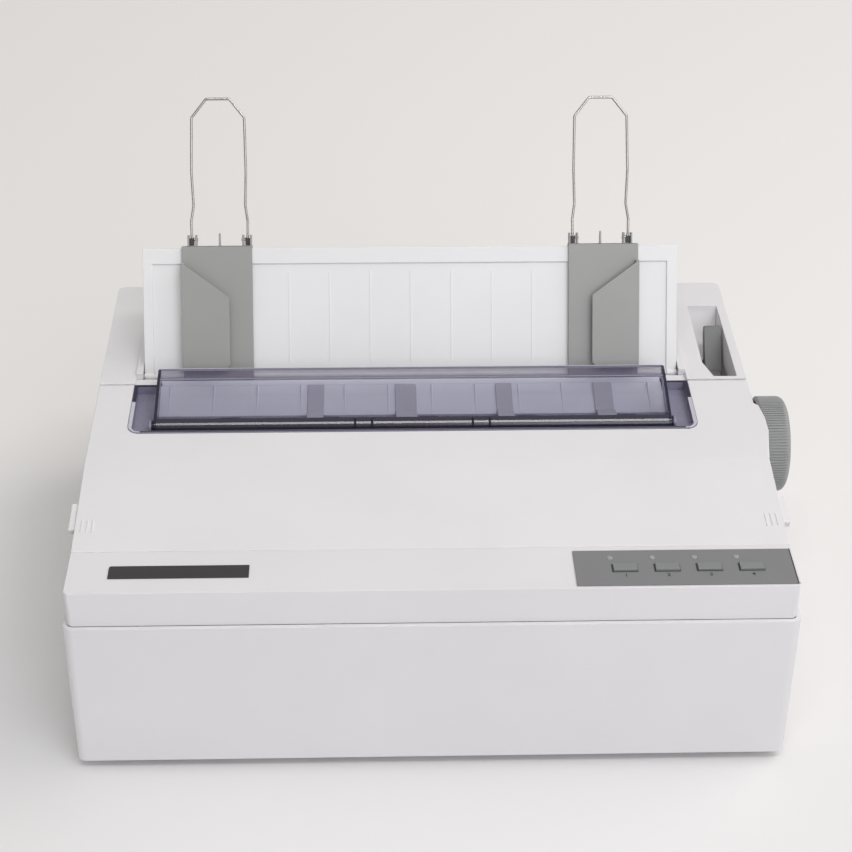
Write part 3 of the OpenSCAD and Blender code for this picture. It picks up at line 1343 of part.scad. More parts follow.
lower_case();
upper_case();
rubber_feet();
case_screws();
operator_panel();
status_lights();
name_badge();
panel_board();
base_frame();
left_side_frame();
right_side_frame();
carriage_rod();
platen_bushes();
carriage_motor();
paper_feed_motor();
main_board();
power_supply();
mains_inlet();
parallel_port();
tractor_rod();
paper_chute();
exit_guide();
cover_hinge_pins();
drive_belt();
front_cover();
smoke_tray();
smoke_lid();
paper_table();
sheet_guide_left();
sheet_guide_right();
wire_support_left();
wire_support_right();
platen_roller();
platen_shaft();
platen_gear();
platen_knob();
motor_pinion();
feed_idler();
tractor_idler_front();
tractor_idler_rear();
tractor_shaft();
tractor_gear();
tractor_left();
tractor_right();
tractor_door_left();
tractor_door_right();
print_carriage();
print_head();
ribbon_cartridge();
ribbon_knob();
motor_pulley();
idler_pulley();
exit_rollers();
release_lever();
gap_lever();
button_1();
button_2();
button_3();
button_4();
power_rocker();
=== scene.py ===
# Desktop dot matrix printer: case, cover, smoked tray and lid, paper table, guides, wires, knob and lever.
import bpy, bmesh, json, math
from mathutils import Matrix, Vector


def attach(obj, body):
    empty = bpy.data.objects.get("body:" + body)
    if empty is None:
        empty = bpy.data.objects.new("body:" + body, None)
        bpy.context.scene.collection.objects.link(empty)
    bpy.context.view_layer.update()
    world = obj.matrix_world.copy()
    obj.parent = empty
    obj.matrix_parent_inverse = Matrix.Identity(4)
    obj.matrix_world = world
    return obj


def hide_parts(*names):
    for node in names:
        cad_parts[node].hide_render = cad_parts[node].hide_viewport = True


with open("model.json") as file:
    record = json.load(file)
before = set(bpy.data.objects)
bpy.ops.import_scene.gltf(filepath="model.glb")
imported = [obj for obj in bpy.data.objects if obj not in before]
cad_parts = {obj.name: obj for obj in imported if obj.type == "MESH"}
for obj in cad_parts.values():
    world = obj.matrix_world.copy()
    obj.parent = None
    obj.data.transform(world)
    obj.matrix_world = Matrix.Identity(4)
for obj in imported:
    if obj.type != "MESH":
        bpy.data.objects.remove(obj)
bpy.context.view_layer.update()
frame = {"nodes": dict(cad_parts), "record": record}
nodes = frame["nodes"]
print("frame loaded:", len(nodes), "nodes")

mm = 0.001
middleX, middleY = 8.85, 163.75   # case measures are from the case's middle and its front lip


def at(x, y, z):
    return Vector(((x - middleX) * mm, (y - middleY) * mm, z * mm))


def srgb(red, green, blue):
    # 0 to 255 screen colour to linear
    parts = [c / 255 for c in (red, green, blue)]
    return tuple(c / 12.92 if c <= 0.04045 else ((c + 0.055) / 1.055) ** 2.4 for c in parts) + (1.0,)


def newMaterial(name):
    mat = bpy.data.materials.new(name)
    mat.use_nodes = True
    nodeSet = mat.node_tree.nodes
    return mat, nodeSet, mat.node_tree.links, nodeSet["Principled BSDF"], nodeSet.new("ShaderNodeTexCoord")


def newNode(nodeSet, kind, values=(), operation=None):
    # A shader node with the values of its inputs
    node = nodeSet.new(kind)
    if operation:
        node.operation = operation
    for name, value in dict(values).items():
        node.inputs[name].default_value = value
    return node


def linkAll(links, *pairs):
    for source, target in pairs:
        links.new(source, target)


def noiseOn(nodeSet, links, place, scale, detail=3.0, rough=0.55, stretch=(1, 1, 1)):
    # Noise at a real scale: scale is cycles per metre
    mapping = newNode(nodeSet, "ShaderNodeMapping", {"Scale": stretch})
    noise = newNode(nodeSet, "ShaderNodeTexNoise", {"Scale": scale, "Detail": detail, "Roughness": rough})
    linkAll(links, (place.outputs["Object"], mapping.inputs["Vector"]),
            (mapping.outputs["Vector"], noise.inputs["Vector"]))
    return noise


def between(nodeSet, links, value, low, high, fromLow=0.3, fromHigh=0.7):
    limits = {"From Min": fromLow, "From Max": fromHigh, "To Min": low, "To Max": high}
    spread = newNode(nodeSet, "ShaderNodeMapRange", limits)
    links.new(value, spread.inputs["Value"])
    return spread.outputs["Result"]


def twoColours(nodeSet, links, factor, first, second):
    mix = nodeSet.new("ShaderNodeMix")
    mix.data_type = "RGBA"
    mix.inputs[6].default_value = first
    mix.inputs[7].default_value = second
    links.new(factor, mix.inputs[0])
    return mix.outputs[2]


def bumpFrom(nodeSet, links, bsdf, height, strength, distance):
    bump = newNode(nodeSet, "ShaderNodeBump", {"Strength": strength, "Distance": distance})
    linkAll(links, (height, bump.inputs["Height"]), (bump.outputs["Normal"], bsdf.inputs["Normal"]))


def darker(colour, share):
    return tuple(c * share for c in colour[:3]) + (1.0,)


def lighter(colour, share):
    return tuple(min(1, c * share + 0.01) for c in colour[:3]) + (1.0,)


def mouldedPlastic(name, colour, rough=0.45, grain=2600, depth=0.00004, blotch=0.965):
    # Injection moulded plastic: a fine spark texture, faint handling marks and slight yellowing
    mat, nodeSet, links, bsdf, place = newMaterial(name)
    large = noiseOn(nodeSet, links, place, 14, 4)
    links.new(twoColours(nodeSet, links, between(nodeSet, links, large.outputs["Fac"], 0, 1), colour,
                         darker(colour, blotch)), bsdf.inputs["Base Color"])
    smear = noiseOn(nodeSet, links, place, 60, 5, 0.6, (1, 0.35, 1))
    links.new(between(nodeSet, links, smear.outputs["Fac"], rough - 0.05, rough + 0.06),
              bsdf.inputs["Roughness"])
    bsdf.inputs["Specular IOR Level"].default_value = 0.45
    fine = noiseOn(nodeSet, links, place, grain, 2)
    bumpFrom(nodeSet, links, bsdf, fine.outputs["Fac"], 0.35, depth)
    return mat


def smokedPlastic(name, colour, alpha, rough=0.06, wander=0.08, shine=0.5):
    # Clear tinted plastic with faint dust and swirl marks
    mat, nodeSet, links, bsdf, place = newMaterial(name)
    dust = noiseOn(nodeSet, links, place, 420, 5, 0.65)
    links.new(twoColours(nodeSet, links, between(nodeSet, links, dust.outputs["Fac"], 0, 1, 0.45, 0.8),
                         colour, lighter(colour, 1.12)), bsdf.inputs["Base Color"])
    swirl = noiseOn(nodeSet, links, place, 90, 6, 0.7, (1, 0.25, 1))
    links.new(between(nodeSet, links, swirl.outputs["Fac"], rough, rough + wander), bsdf.inputs["Roughness"])
    bsdf.inputs["Alpha"].default_value = alpha
    bsdf.inputs["Specular IOR Level"].default_value = shine
    bsdf.inputs["IOR"].default_value = 1.5
    return mat


def turnedMetal(name, colour, rough=0.28, along="X", scale=900):
    # Drawn or brushed metal with lines along one axis
    mat, nodeSet, links, bsdf, place = newMaterial(name)
    stretch = {"X": (0.02, 1, 1), "Y": (1, 0.02, 1), "Z": (1, 1, 0.02)}[along]
    lines = noiseOn(nodeSet, links, place, scale, 3, 0.6, stretch)
    links.new(twoColours(nodeSet, links, between(nodeSet, links, lines.outputs["Fac"], 0, 1), colour,
                         darker(colour, 0.86)), bsdf.inputs["Base Color"])
    links.new(between(nodeSet, links, lines.outputs["Fac"], rough - 0.06, rough + 0.1),
              bsdf.inputs["Roughness"])
    bsdf.inputs["Metallic"].default_value = 1.0
    bumpFrom(nodeSet, links, bsdf, lines.outputs["Fac"], 0.15, 0.00003)
    return mat


def softRubber(name, colour, rough=0.75, grain=1500):
    mat, nodeSet, links, bsdf, place = newMaterial(name)
    dust = noiseOn(nodeSet, links, place, 120, 5)
    links.new(twoColours(nodeSet, links, between(nodeSet, links, dust.outputs["Fac"], 0, 1, 0.4, 0.75),
                         colour, lighter(colour, 1.5)), bsdf.inputs["Base Color"])
    links.new(between(nodeSet, links, dust.outputs["Fac"], rough - 0.08, rough + 0.1),
              bsdf.inputs["Roughness"])
    fine = noiseOn(nodeSet, links, place, grain, 3)
    bumpFrom(nodeSet, links, bsdf, fine.outputs["Fac"], 0.4, 0.00006)
    return mat


def circuitBoard(name, colour):
    # Green lacquer with faint copper tracks
    mat, nodeSet, links, bsdf, place = newMaterial(name)
    tracks = newNode(nodeSet, "ShaderNodeTexBrick", {"Scale": 90, "Mortar Size": 0.03, "Color1": colour,
                                                     "Color2": darker(colour, 0.85),
                                                     "Mortar": lighter(colour, 1.7)})
    linkAll(links, (place.outputs["Object"], tracks.inputs["Vector"]),
            (tracks.outputs["Color"], bsdf.inputs["Base Color"]))
    bumpFrom(nodeSet, links, bsdf, tracks.outputs["Fac"], 0.2, 0.00005)
    bsdf.inputs["Roughness"].default_value = 0.35
    return mat


mats = {
    "shell_white": mouldedPlastic("caseWhite", srgb(225, 222, 223), 0.46),
    "table_white": mouldedPlastic("tableWhite", srgb(233, 232, 231), 0.38, 3000, 0.00002),
    "guide_grey": mouldedPlastic("guideGrey", srgb(158, 157, 154), 0.42, 2400),
    "panel_grey": mouldedPlastic("panelGrey", srgb(127, 127, 127), 0.5, 3200, 0.00003, 0.97),
    "button_grey": mouldedPlastic("buttonGrey", srgb(131, 132, 132), 0.45, 2600),
    "light_lens": mouldedPlastic("lightLens", srgb(156, 155, 157), 0.3, 3000, 0.00001),
    "badge_dark": mouldedPlastic("badgeBlack", srgb(60, 55, 56), 0.35, 3000, 0.00002, 0.9),
    "smoke": smokedPlastic("smokedLid", srgb(80, 69, 112), 0.205),
    "smokeFlap": smokedPlastic("smokedFlap", srgb(84, 76, 108), 0.34),
    # Painted shade: near opaque dark smoke on the roll stands in for the dark inside seen through it; its
    # highlight comes from the strip lamp
    "smokeRollPaintedShade": smokedPlastic("smokedRoll", srgb(48, 44, 58), 0.95, 0.17, 0.01, 0.7),
    "smokeRib": smokedPlastic("smokedRib", srgb(34, 30, 44), 0.95, 0.45, 0.02, 0.15),
    "smokeTray": smokedPlastic("smokedTray", srgb(140, 137, 157), 0.9, 0.2),
    # Painted shade: a dark smoke for the top of the tray's front rim
    "smokeRimPaintedShade": smokedPlastic("smokedRim", srgb(76, 73, 84), 0.9, 0.2),
    # Painted shade: near opaque dark smoke for the lid's end cheeks and the tray's rear corners
    "smokeEndPaintedShade": smokedPlastic("smokedEnd", srgb(38, 33, 54), 0.9),
    # Painted highlight: a light smoke for the edges of the lid and tray that catch light
    "smokePaintedHighlight": smokedPlastic("polishedEdge", srgb(205, 203, 212), 0.85, 0.1),
    "armGrey": mouldedPlastic("armGrey", srgb(190, 190, 198), 0.5, 2600, 0.00002),
    "guideWhite": mouldedPlastic("ribbedGuideWhite", srgb(226, 227, 238), 0.5, 2600, 0.00002),
    "leverGrey": mouldedPlastic("leverGrey", srgb(118, 119, 117), 0.5, 2600),
    # Black for the wire clips, and for the painted shade strips on the operator panel
    "clipBlack": mouldedPlastic("clipBlack", srgb(66, 66, 66), 0.5, 2200, 0.00003, 0.85),
    "markBlack": mouldedPlastic("printedMark", srgb(52, 52, 54), 0.6, 3000, 0.00001, 0.9),
    "knob_grey": mouldedPlastic("knobGrey", srgb(152, 153, 151), 0.45, 2000),
    "steel": turnedMetal("platedSteel", srgb(176, 178, 180), 0.36),
    "wire_steel": turnedMetal("wireSteel", srgb(196, 190, 184), 0.22, "Z"),
    "foot_rubber": softRubber("footRubber", srgb(30, 30, 32)),
    "roller_rubber": softRubber("rollerRubber", srgb(44, 44, 48), 0.6),
    "belt_rubber": softRubber("beltRubber", srgb(26, 26, 27), 0.8),
    "gear_plastic": mouldedPlastic("gearAcetal", srgb(222, 216, 196), 0.35, 1800, 0.00002),
    "black_plastic": mouldedPlastic("blackPlastic", srgb(44, 44, 47), 0.5, 2200, 0.00005, 0.85),
    "head_metal": turnedMetal("headMetal", srgb(96, 98, 102), 0.5, "Y", 500),
    "board_green": circuitBoard("boardGreen", srgb(38, 92, 62)),
    "lever_blue": mouldedPlastic("leverBlue", srgb(52, 100, 150), 0.4),
}
print("materials made:", len(mats))

slotOf = {row["node"]: row["material_slot"] for row in frame["record"]["subparts"]}
bodyOf = {name: body for body, names in frame["record"]["behaviour"]["bodies"].items() for name in names}
for name, obj in nodes.items():
    obj.data.materials.clear()
    obj.data.materials.append(mats[slotOf[name]])
    for face in obj.data.polygons:
        face.material_index = 0


def addObject(name, mesh):
    obj = bpy.data.objects.new(name, mesh)
    bpy.context.scene.collection.objects.link(obj)
    return obj


def meshObject(name, points, faces):
    mesh = bpy.data.meshes.new(name)
    mesh.from_pydata([tuple(p) for p in points], [], faces)
    mesh.update()
    return addObject(name, mesh)


def outward(obj):
    # Merges doubles and turns the faces outwards
    bm = bmesh.new()
    bm.from_mesh(obj.data)
    bmesh.ops.remove_doubles(bm, verts=bm.verts, dist=1e-6)
    bmesh.ops.recalc_face_normals(bm, faces=bm.faces)
    bm.to_mesh(obj.data)
    bm.free()
    return obj


def baked(obj):
    # Turns what the modifiers make into a plain mesh
    graph = bpy.context.evaluated_depsgraph_get()
    mesh = bpy.data.meshes.new_from_object(obj.evaluated_get(graph), depsgraph=graph)
    if obj.type != "MESH":
        made = addObject(obj.name + "Mesh", mesh)
        bpy.data.objects.remove(obj)
        return made
    obj.modifiers.clear()
    obj.data = mesh
    return obj


def shadeSoft(obj, angle=32):
    # Smooth shading in which the large flat faces stay flat
    for face in obj.data.polygons:
        face.use_smooth = True
    obj.data.set_sharp_from_angle(angle=math.radians(angle))
    even = obj.modifiers.new("flat faces", "WEIGHTED_NORMAL")
    even.mode = "FACE_AREA"
    even.weight = 100
    even.keep_sharp = True
    return baked(obj)


def roundEdges(obj, width, segments=3, angle=28):
    # Rounds the sharp edges, and less where the mesh is small
    shareOfEdge = 0.42
    bm = bmesh.new()
    bm.from_mesh(obj.data)
    layer = bm.edges.layers.float.get("bevel_weight_edge") or bm.edges.layers.float.new("bevel_weight_edge")
    sharp = [e for e in bm.edges if len(e.link_faces) == 2 and e.calc_face_angle(0) > math.radians(angle)]
    for edge in sharp:
        near = [other.calc_length() for v in edge.verts for other in v.link_edges if other is not edge]
        room = min(near) * shareOfEdge if near else width
        edge[layer] = min(1.0, room / width)
    bm.to_mesh(obj.data)
    bm.free()
    rounding = obj.modifiers.new("edges", "BEVEL")
    rounding.limit_method = "WEIGHT"
    rounding.width = width
    rounding.segments = segments
    rounding.use_clamp_overlap = False
    return baked(obj)


def flatJoined(obj):
    # Merges doubles and joins up the flat faces
    bm = bmesh.new()
    bm.from_mesh(obj.data)
    bmesh.ops.remove_doubles(bm, verts=bm.verts, dist=2e-6)
    bmesh.ops.dissolve_limit(bm, angle_limit=math.radians(0.6), verts=bm.verts, edges=bm.edges)
    bm.to_mesh(obj.data)
    bm.free()
    return obj


def cadCopy(name, node):
    return flatJoined(addObject(name, nodes[node].data.copy()))


def dress(obj, body, material, slot=None, *replaced):
    obj.data.materials.clear()
    obj.data.materials.append(mats[material])
    for face in obj.data.polygons:
        face.material_index = 0
    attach(obj, body)
    if replaced:
        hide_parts(*replaced)
    return obj


# Rounded copies of the moulded and pressed pieces: width of the rounding in mm
roundedPieces = {
    "lower_case": 0.9, "upper_case": 0.65, "smoke_tray": 0.4, "exit_guide": 0.3, "release_lever": 0.9,
    "sheet_guide_left": 0.45, "sheet_guide_right": 0.45, "operator_panel": 0.15,
    "button_1": 0.35, "button_2": 0.35, "button_3": 0.35, "button_4": 0.35,
    "base_frame": 0.3, "left_side_frame": 0.2, "right_side_frame": 0.2, "carriage_motor": 0.5,
    "paper_feed_motor": 0.5, "power_supply": 0.3, "mains_inlet": 0.3, "parallel_port": 0.2,
    "paper_chute": 0.2, "print_carriage": 0.5, "print_head": 0.3, "ribbon_cartridge": 0.8, "ribbon_knob": 0.3,
    "tractor_left": 0.4, "tractor_right": 0.4, "tractor_door_left": 0.3, "tractor_door_right": 0.3,
    "gap_lever": 0.4, "power_rocker": 0.4, "rubber_feet": 0.6, "case_screws": 0.2, "platen_bushes": 0.2,
    "platen_shaft": 0.3, "platen_roller": 0.3, "panel_board": 0.15, "main_board": 0.15,
}
ownFinish = {"smoke_tray": "smokeTray", "exit_guide": "guideWhite", "release_lever": "leverGrey"}
for node, width in roundedPieces.items():
    piece = cadCopy(node + "_rounded", node)
    shadeSoft(roundEdges(piece, width * mm))
    dress(piece, bodyOf[node], ownFinish.get(node, slotOf[node]), slotOf[node], node)
print("rounded pieces:", len(roundedPieces))


tableSlope = {"foot": (216, 138), "lean": 26}


def onTable(u, v, w):
    # Table measures: u across, v up the slope, w towards the front
    rise = math.radians(90 - tableSlope["lean"])
    return at(u, tableSlope["foot"][0] + v * math.cos(rise) - w * math.sin(rise),
              tableSlope["foot"][1] + v * math.sin(rise) + w * math.cos(rise))


def alongX(y, z, x):
    return at(x, y, z)


def flatBox(u0, u1, v0, v1):
    return [(u0, v0), (u1, v0), (u1, v1), (u0, v1)]


def prism(name, outline, low, high, place):
    # An outline drawn between two levels; place turns (u, v, w) into a point
    count = len(outline)
    points = [place(u, v, level) for level in (low, high) for u, v in outline]
    faces = [tuple(range(count))[::-1], tuple(range(count, 2 * count))]
    faces += [(i, (i + 1) % count, (i + 1) % count + count, i + count) for i in range(count)]
    return outward(meshObject(name, points, faces))


def softPrism(name, outline, low, high, place, width, segments=3):
    return shadeSoft(roundEdges(prism(name, outline, low, high, place), width * mm, segments))


def joined(name, *pieces):
    # One mesh from several pieces
    bm = bmesh.new()
    for piece in pieces:
        bm.from_mesh(piece.data)
    mesh = bpy.data.meshes.new(name)
    bm.to_mesh(mesh)
    bm.free()
    for piece in pieces:
        bpy.data.objects.remove(piece)
    return addObject(name, mesh)


def nodeTree(name, inputs):
    # An empty Geometry Nodes tree with named inputs: name and socket type
    tree = bpy.data.node_groups.new(name, "GeometryNodeTree")
    tree.interface.new_socket("Geometry", in_out="INPUT", socket_type="NodeSocketGeometry")
    tree.interface.new_socket("Geometry", in_out="OUTPUT", socket_type="NodeSocketGeometry")
    for label, kind in inputs:
        tree.interface.new_socket(label, in_out="INPUT", socket_type=kind)
    return tree, tree.nodes.new("NodeGroupInput"), tree.nodes.new("NodeGroupOutput")


def closeTree(tree, geometry, material, out):
    # Every tree ends with real meshes and its material
    real = tree.nodes.new("GeometryNodeRealizeInstances")
    paint = tree.nodes.new("GeometryNodeSetMaterial")
    paint.inputs["Material"].default_value = material
    linkAll(tree.links, (geometry, real.inputs["Geometry"]),
            (real.outputs["Geometry"], paint.inputs["Geometry"]),
            (paint.outputs["Geometry"], out.inputs["Geometry"]))


def runTree(obj, tree, values):
    # Adds the tree with its values and turns the result into a plain mesh
    modifier = obj.modifiers.new(tree.name, "NODES")
    modifier.node_group = tree
    for item in tree.interface.items_tree:
        if item.in_out == "INPUT" and item.name in values:
            modifier[item.identifier] = values[item.name]
    return baked(obj)


def copiesOnPoints(name, points, shape, material, turns=()):
    # Puts one small shape on every point, with its own turn if there is one
    tree, given, out = nodeTree(name, [("Shape", "NodeSocketObject")])
    info = tree.nodes.new("GeometryNodeObjectInfo")
    info.transform_space = "ORIGINAL"
    turn = tree.nodes.new("GeometryNodeInputNamedAttribute")
    turn.data_type = "FLOAT_VECTOR"
    turn.inputs["Name"].default_value = "turn"
    asTurn = tree.nodes.new("FunctionNodeEulerToRotation")
    place = tree.nodes.new("GeometryNodeInstanceOnPoints")
    linkAll(tree.links, (given.outputs["Shape"], info.inputs["Object"]),
            (given.outputs["Geometry"], place.inputs["Points"]),
            (info.outputs["Geometry"], place.inputs["Instance"]),
            (turn.outputs["Attribute"], asTurn.inputs["Euler"]),
            (asTurn.outputs["Rotation"], place.inputs["Rotation"]))
    closeTree(tree, place.outputs["Instances"], material, out)
    cloud = meshObject(name, points, [])
    spin = cloud.data.attributes.new("turn", "FLOAT_VECTOR", "POINT")
    for i, one in enumerate(turns):
        spin.data[i].vector = one
    made = runTree(cloud, tree, {"Shape": shape})
    bpy.data.objects.remove(shape)
    return made


def lathe(name, profile, centre, steps=96):
    # Turns a closed (x, radius) outline round an axis along X through centre (y, z)
    points, faces, count = [], [], len(profile)
    for i in range(steps):
        angle = 2 * math.pi * i / steps
        points += [at(x, centre[0] + r * math.cos(angle), centre[1] + r * math.sin(angle))
                   for x, r in profile]
    for i in range(steps):
        for k in range(count):
            a, b = i * count, ((i + 1) % steps) * count
            faces.append((a + k, a + (k + 1) % count, b + (k + 1) % count, b + k))
    return outward(meshObject(name, points, faces))


# Paper table: a thin plate whose panel is set back inside a narrow border
table = {"left": -178.4, "right": 162.4, "low": -4, "high": 81, "thick": 4, "rim": 1.2,
         "leftBorder": 6, "rightBorder": 6.5, "topBorder": 10, "middle": -8, "ribPitch": 25.9, "ribs": 7,
         "ribHalf": 0.55, "ribFrom": 8, "ribTo": 66, "markPitch": 16.8, "marks": 9, "firstMark": -69,
         "markHalf": 0.5, "markDrop": 8.9, "backRib": 3, "rod": (-185.3, 169.3), "rodRadii": (2, 3.2),
         "pin": (217.6, 136.5)}


def onTableStep(u, v, w):
    return onTable(u, v, w) - onTable(0, 0, 0)


def paperTable(size):
    left, right, low, high, rim, thick = (size[key]
                                          for key in ("left", "right", "low", "high", "rim", "thick"))
    inLeft, inRight, top = left + size["leftBorder"], right - size["rightBorder"], high - size["topBorder"]
    plate = roundEdges(prism("tablePlate", flatBox(left, right, low, high), -thick, -rim, onTable), 0.3 * mm)
    edge = [(left, low), (inLeft, low), (inLeft, top), (inRight, top), (inRight, low), (right, low),
            (right, high), (left, high)]
    border = roundEdges(prism("tableBorder", edge, -rim - 1, 0, onTable), 0.45 * mm, 4)
    half = size["ribHalf"]
    bar = prism("tableRib", flatBox(-half, half, size["ribFrom"], size["ribTo"]), -rim - 0.4, -rim + 0.28,
                onTableStep)
    places = [onTable(size["middle"] + (i - 3) * size["ribPitch"], 0, 0) for i in range(size["ribs"])]
    ribs = copiesOnPoints("tableRibs", places, roundEdges(bar, 0.25 * mm, 2), mats["table_white"])
    half = size["markHalf"]
    mark = roundEdges(prism("tableMark", flatBox(-half, half, -0.6, 0.7), -0.5, 0.15, onTableStep),
                      0.12 * mm, 2)
    up = high - size["markDrop"]
    places = [onTable(size["firstMark"] + i * size["markPitch"], up, 0) for i in range(size["marks"])]
    marks = copiesOnPoints("tableMarks", places, mark, mats["table_white"])
    outlines = [flatBox(x, x + 2, 6, high - 20) for x in (left + 20, size["middle"], right - 22)]
    outlines.append(flatBox(left + 20, right - 20, 6, 8))
    backRibs = [roundEdges(prism("backRib", outline, -thick - size["backRib"], -thick + 0.5, onTable),
                           0.25 * mm, 2)
                for outline in outlines]
    (start, end), (thin, boss) = size["rod"], size["rodRadii"]
    rod = lathe("tableRod", [(start, 0), (start, thin), (left, thin), (left, boss), (left + 6, boss),
                             (left + 6, thin), (right - 6, thin), (right - 6, boss), (right, boss),
                             (right, thin), (end, thin), (end, 0)], size["pin"], 32)
    return shadeSoft(joined("paperTable", plate, border, ribs, marks, *backRibs, rod))


dress(paperTable(table), "paper_table", "table_white", "table_white", "paper_table")
print("paper table made")


# Paper feed knob: a ribbed wheel with a rounded rim and a hollow face
knob = {"from": 208.5, "to": 227, "radius": 30.2, "centre": (176, 108), "ribs": 104, "ribHeight": 0.75}


def feedKnob(size):
    near, far, rim = size["from"], size["to"], size["radius"]
    body = rim - size["ribHeight"]
    curve = [(far - 3.6 + 3.6 * math.sin(a), body - 3.4 + 3.4 * math.cos(a))
             for a in [math.radians(d) for d in (90, 75, 60, 45, 30, 15, 0)]]
    profile = [(far - 2, 5.1), (far - 2, 10.2), (far - 2.8, 11), (far - 5, 11.2), (far - 5, 24.2),
               (far - 4.4, 24.8), (far - 1.2, 25), (far - 0.4, 25.2)] + curve
    profile += [(near + 0.8, body), (near, body - 0.8), (near, 27.4), (near + 0.4, 27.1), (near + 9, 27.1),
                (near + 9, 9), (near, 9), (near, 5.1)]
    wheel = lathe("knobWheel", profile, size["centre"], 144)
    wide, tall = 0.42, size["ribHeight"] + 0.5
    section = [(-wide - 0.12, -tall), (-wide, -0.2), (-wide * 0.55, 0),
               (wide * 0.55, 0), (wide, -0.2), (wide + 0.12, -tall)]
    rings = [(near + 1, -0.45), (near + 1.6, 0), (far - 4.2, 0), (far - 2.6, -0.45), (far - 1.5, -1.1)]
    points = [Vector((x, across, up + drop)) * mm for x, drop in rings for across, up in section]
    count = len(section)
    faces = [(r * count + k, r * count + k + 1, (r + 1) * count + k + 1, (r + 1) * count + k)
             for r in range(len(rings) - 1) for k in range(count - 1)]
    faces += [tuple(range(count)), tuple(range((len(rings) - 1) * count, len(rings) * count))[::-1],
              tuple(range(0, len(rings) * count, count))[::-1]
              + tuple(range(count - 1, len(rings) * count, count))]
    rib = outward(meshObject("knobRib", points, faces))
    rib.data.transform(Matrix.Translation((-middleX * mm, 0, 0)))
    hub, angles = at(0, *size["centre"]), [2 * math.pi * i / size["ribs"] for i in range(size["ribs"])]
    places = [(0, hub.y - rim * mm * math.sin(angle), hub.z + rim * mm * math.cos(angle)) for angle in angles]
    turns = [(angle, 0, 0) for angle in angles]
    ribs = copiesOnPoints("knobRibs", places, rib, mats["knob_grey"], turns)
    return shadeSoft(joined("feedKnob", wheel, ribs), 38)


dress(feedKnob(knob), bodyOf["platen_knob"], "knob_grey", "knob_grey", "platen_knob")
print("feed knob made")


# Front cover: the moulded shell, with a small flange over the inner part of the feed knob
cover = {"round": 0.9, "thick": 2, "ridge": (116, 137), "rear": (200.3, 141.2),
         "flange": [(204, 117), (205.8, 117), (207.3, 128), (209.9, 144.4), (209.9, 158.3), (208, 171.8),
                    (205.3, 174), (204, 174)]}


def coverTop(y):
    (y0, z0), (y1, z1) = cover["ridge"], cover["rear"]
    return z0 + (y - y0) * (z1 - z0) / (y1 - y0)


def onCover(x, y, up):
    return at(x, y, coverTop(y) + up)


def frontCover(size):
    shell = cadCopy("frontCover", "front_cover")
    flange = prism("coverFlange", size["flange"], -size["thick"], 0, onCover)
    union = shell.modifiers.new("flange", "BOOLEAN")
    union.operation, union.solver, union.object = "UNION", "EXACT", flange
    baked(shell)
    bpy.data.objects.remove(flange)
    return shadeSoft(roundEdges(flatJoined(shell), size["round"] * mm))


dress(frontCover(cover), "front_cover", "shell_white", "shell_white", "front_cover")
print("front cover made")


# Smoked lid: a rolled front edge, a flat face and a second flat strip behind the fold
lid = {"middle": -8, "half": 159.7, "pivot": (159, 135.5), "roll": 5.5, "thick": 1.8, "fold": (191, 150.3),
       "end": (202, 151.6), "facet": (124, 140), "facetMarks": (0.12, 0.88), "lap": 1.4, "pin": 1.6,
       "pinLength": 3, "foldLine": 0.5, "ribs": (-36, -25.5, 36.5, 47), "ribHalf": 0.7, "ribHeight": 0.5,
       "rimInset": 0.4}


def sideStrip(name, pairs, low, high):
    # A bent sheet between x = low and high, from pairs of outer and inner (y, z) points
    points = [at(x, *p) for x in (low, high) for pair in pairs for p in pair]
    count, half = len(pairs), 2 * len(pairs)
    faces = []
    for i in range(count - 1):
        a, b, c, d = 2 * i, 2 * i + 1, 2 * i + 3, 2 * i + 2
        faces += [(a, b, c, d), (half + d, half + c, half + b, half + a), (a, d, half + d, half + a),
                  (b, half + b, half + c, c)]
    faces += [(0, half, half + 1, 1), (half - 2, half - 1, 2 * half - 1, 2 * half - 2)]
    return outward(meshObject(name, points, faces))


def onCircle(centre, radius, degrees):
    turn = math.radians(degrees)
    return centre[0] + radius * math.cos(turn), centre[1] + radius * math.sin(turn)


def partWay(start, end, share):
    # A pair of points between two pairs
    return [tuple(a + (b - a) * share for a, b in zip(one, other)) for one, other in zip(start, end)]


def lidPairs(size):
    # Outer and inner points from under the roll, over a flat facet on it and up to the rear edge
    (py, pz), (fy, fz), (ey, ez) = size["pivot"], size["fold"], size["end"]
    roll, thick, (first, last) = size["roll"], size["thick"], size["facet"]
    rise = math.atan2(fz - pz - roll, fy - py)
    slope = math.degrees(rise)

    def onRoll(degrees):
        return [onCircle(size["pivot"], radius, degrees) for radius in (roll, roll - thick)]

    pairs = [onRoll(degrees) for degrees in list(range(270, last, -9)) + [last]]
    pairs += [partWay(pairs[-1], onRoll(first), share) for share in size["facetMarks"]]
    pairs += [onRoll(degrees)
              for degrees in [first] + list(range(first - 4, int(slope) + 90, -7)) + [90 + slope]]
    fold = [(fy, fz), (fy + math.sin(rise) * thick, fz - math.cos(rise) * thick)]
    # This lap carries the roll's dark painted shade a little way up the flat face
    pairs.append(partWay(pairs[-1], fold, size["lap"] / math.hypot(fy - py, fz - pz - roll)))
    return pairs + [fold, [(ey, ez), (ey, ez - thick)]]


def lidStrip(name, size, first, last):
    # Part of the bent sheet, over the lid's whole width
    wide = size["half"] - size["thick"] + 0.02
    return sideStrip(name, lidPairs(size)[first:last], size["middle"] - wide, size["middle"] + wide)


def smokedLid(size):
    return shadeSoft(roundEdges(lidStrip("smokedLid", size, -3, -1), 0.15 * mm), 34)


def lidFlap(size):
    # The second flat strip, behind the fold
    return shadeSoft(roundEdges(lidStrip("lidFlap", size, -2, None), 0.15 * mm), 34)


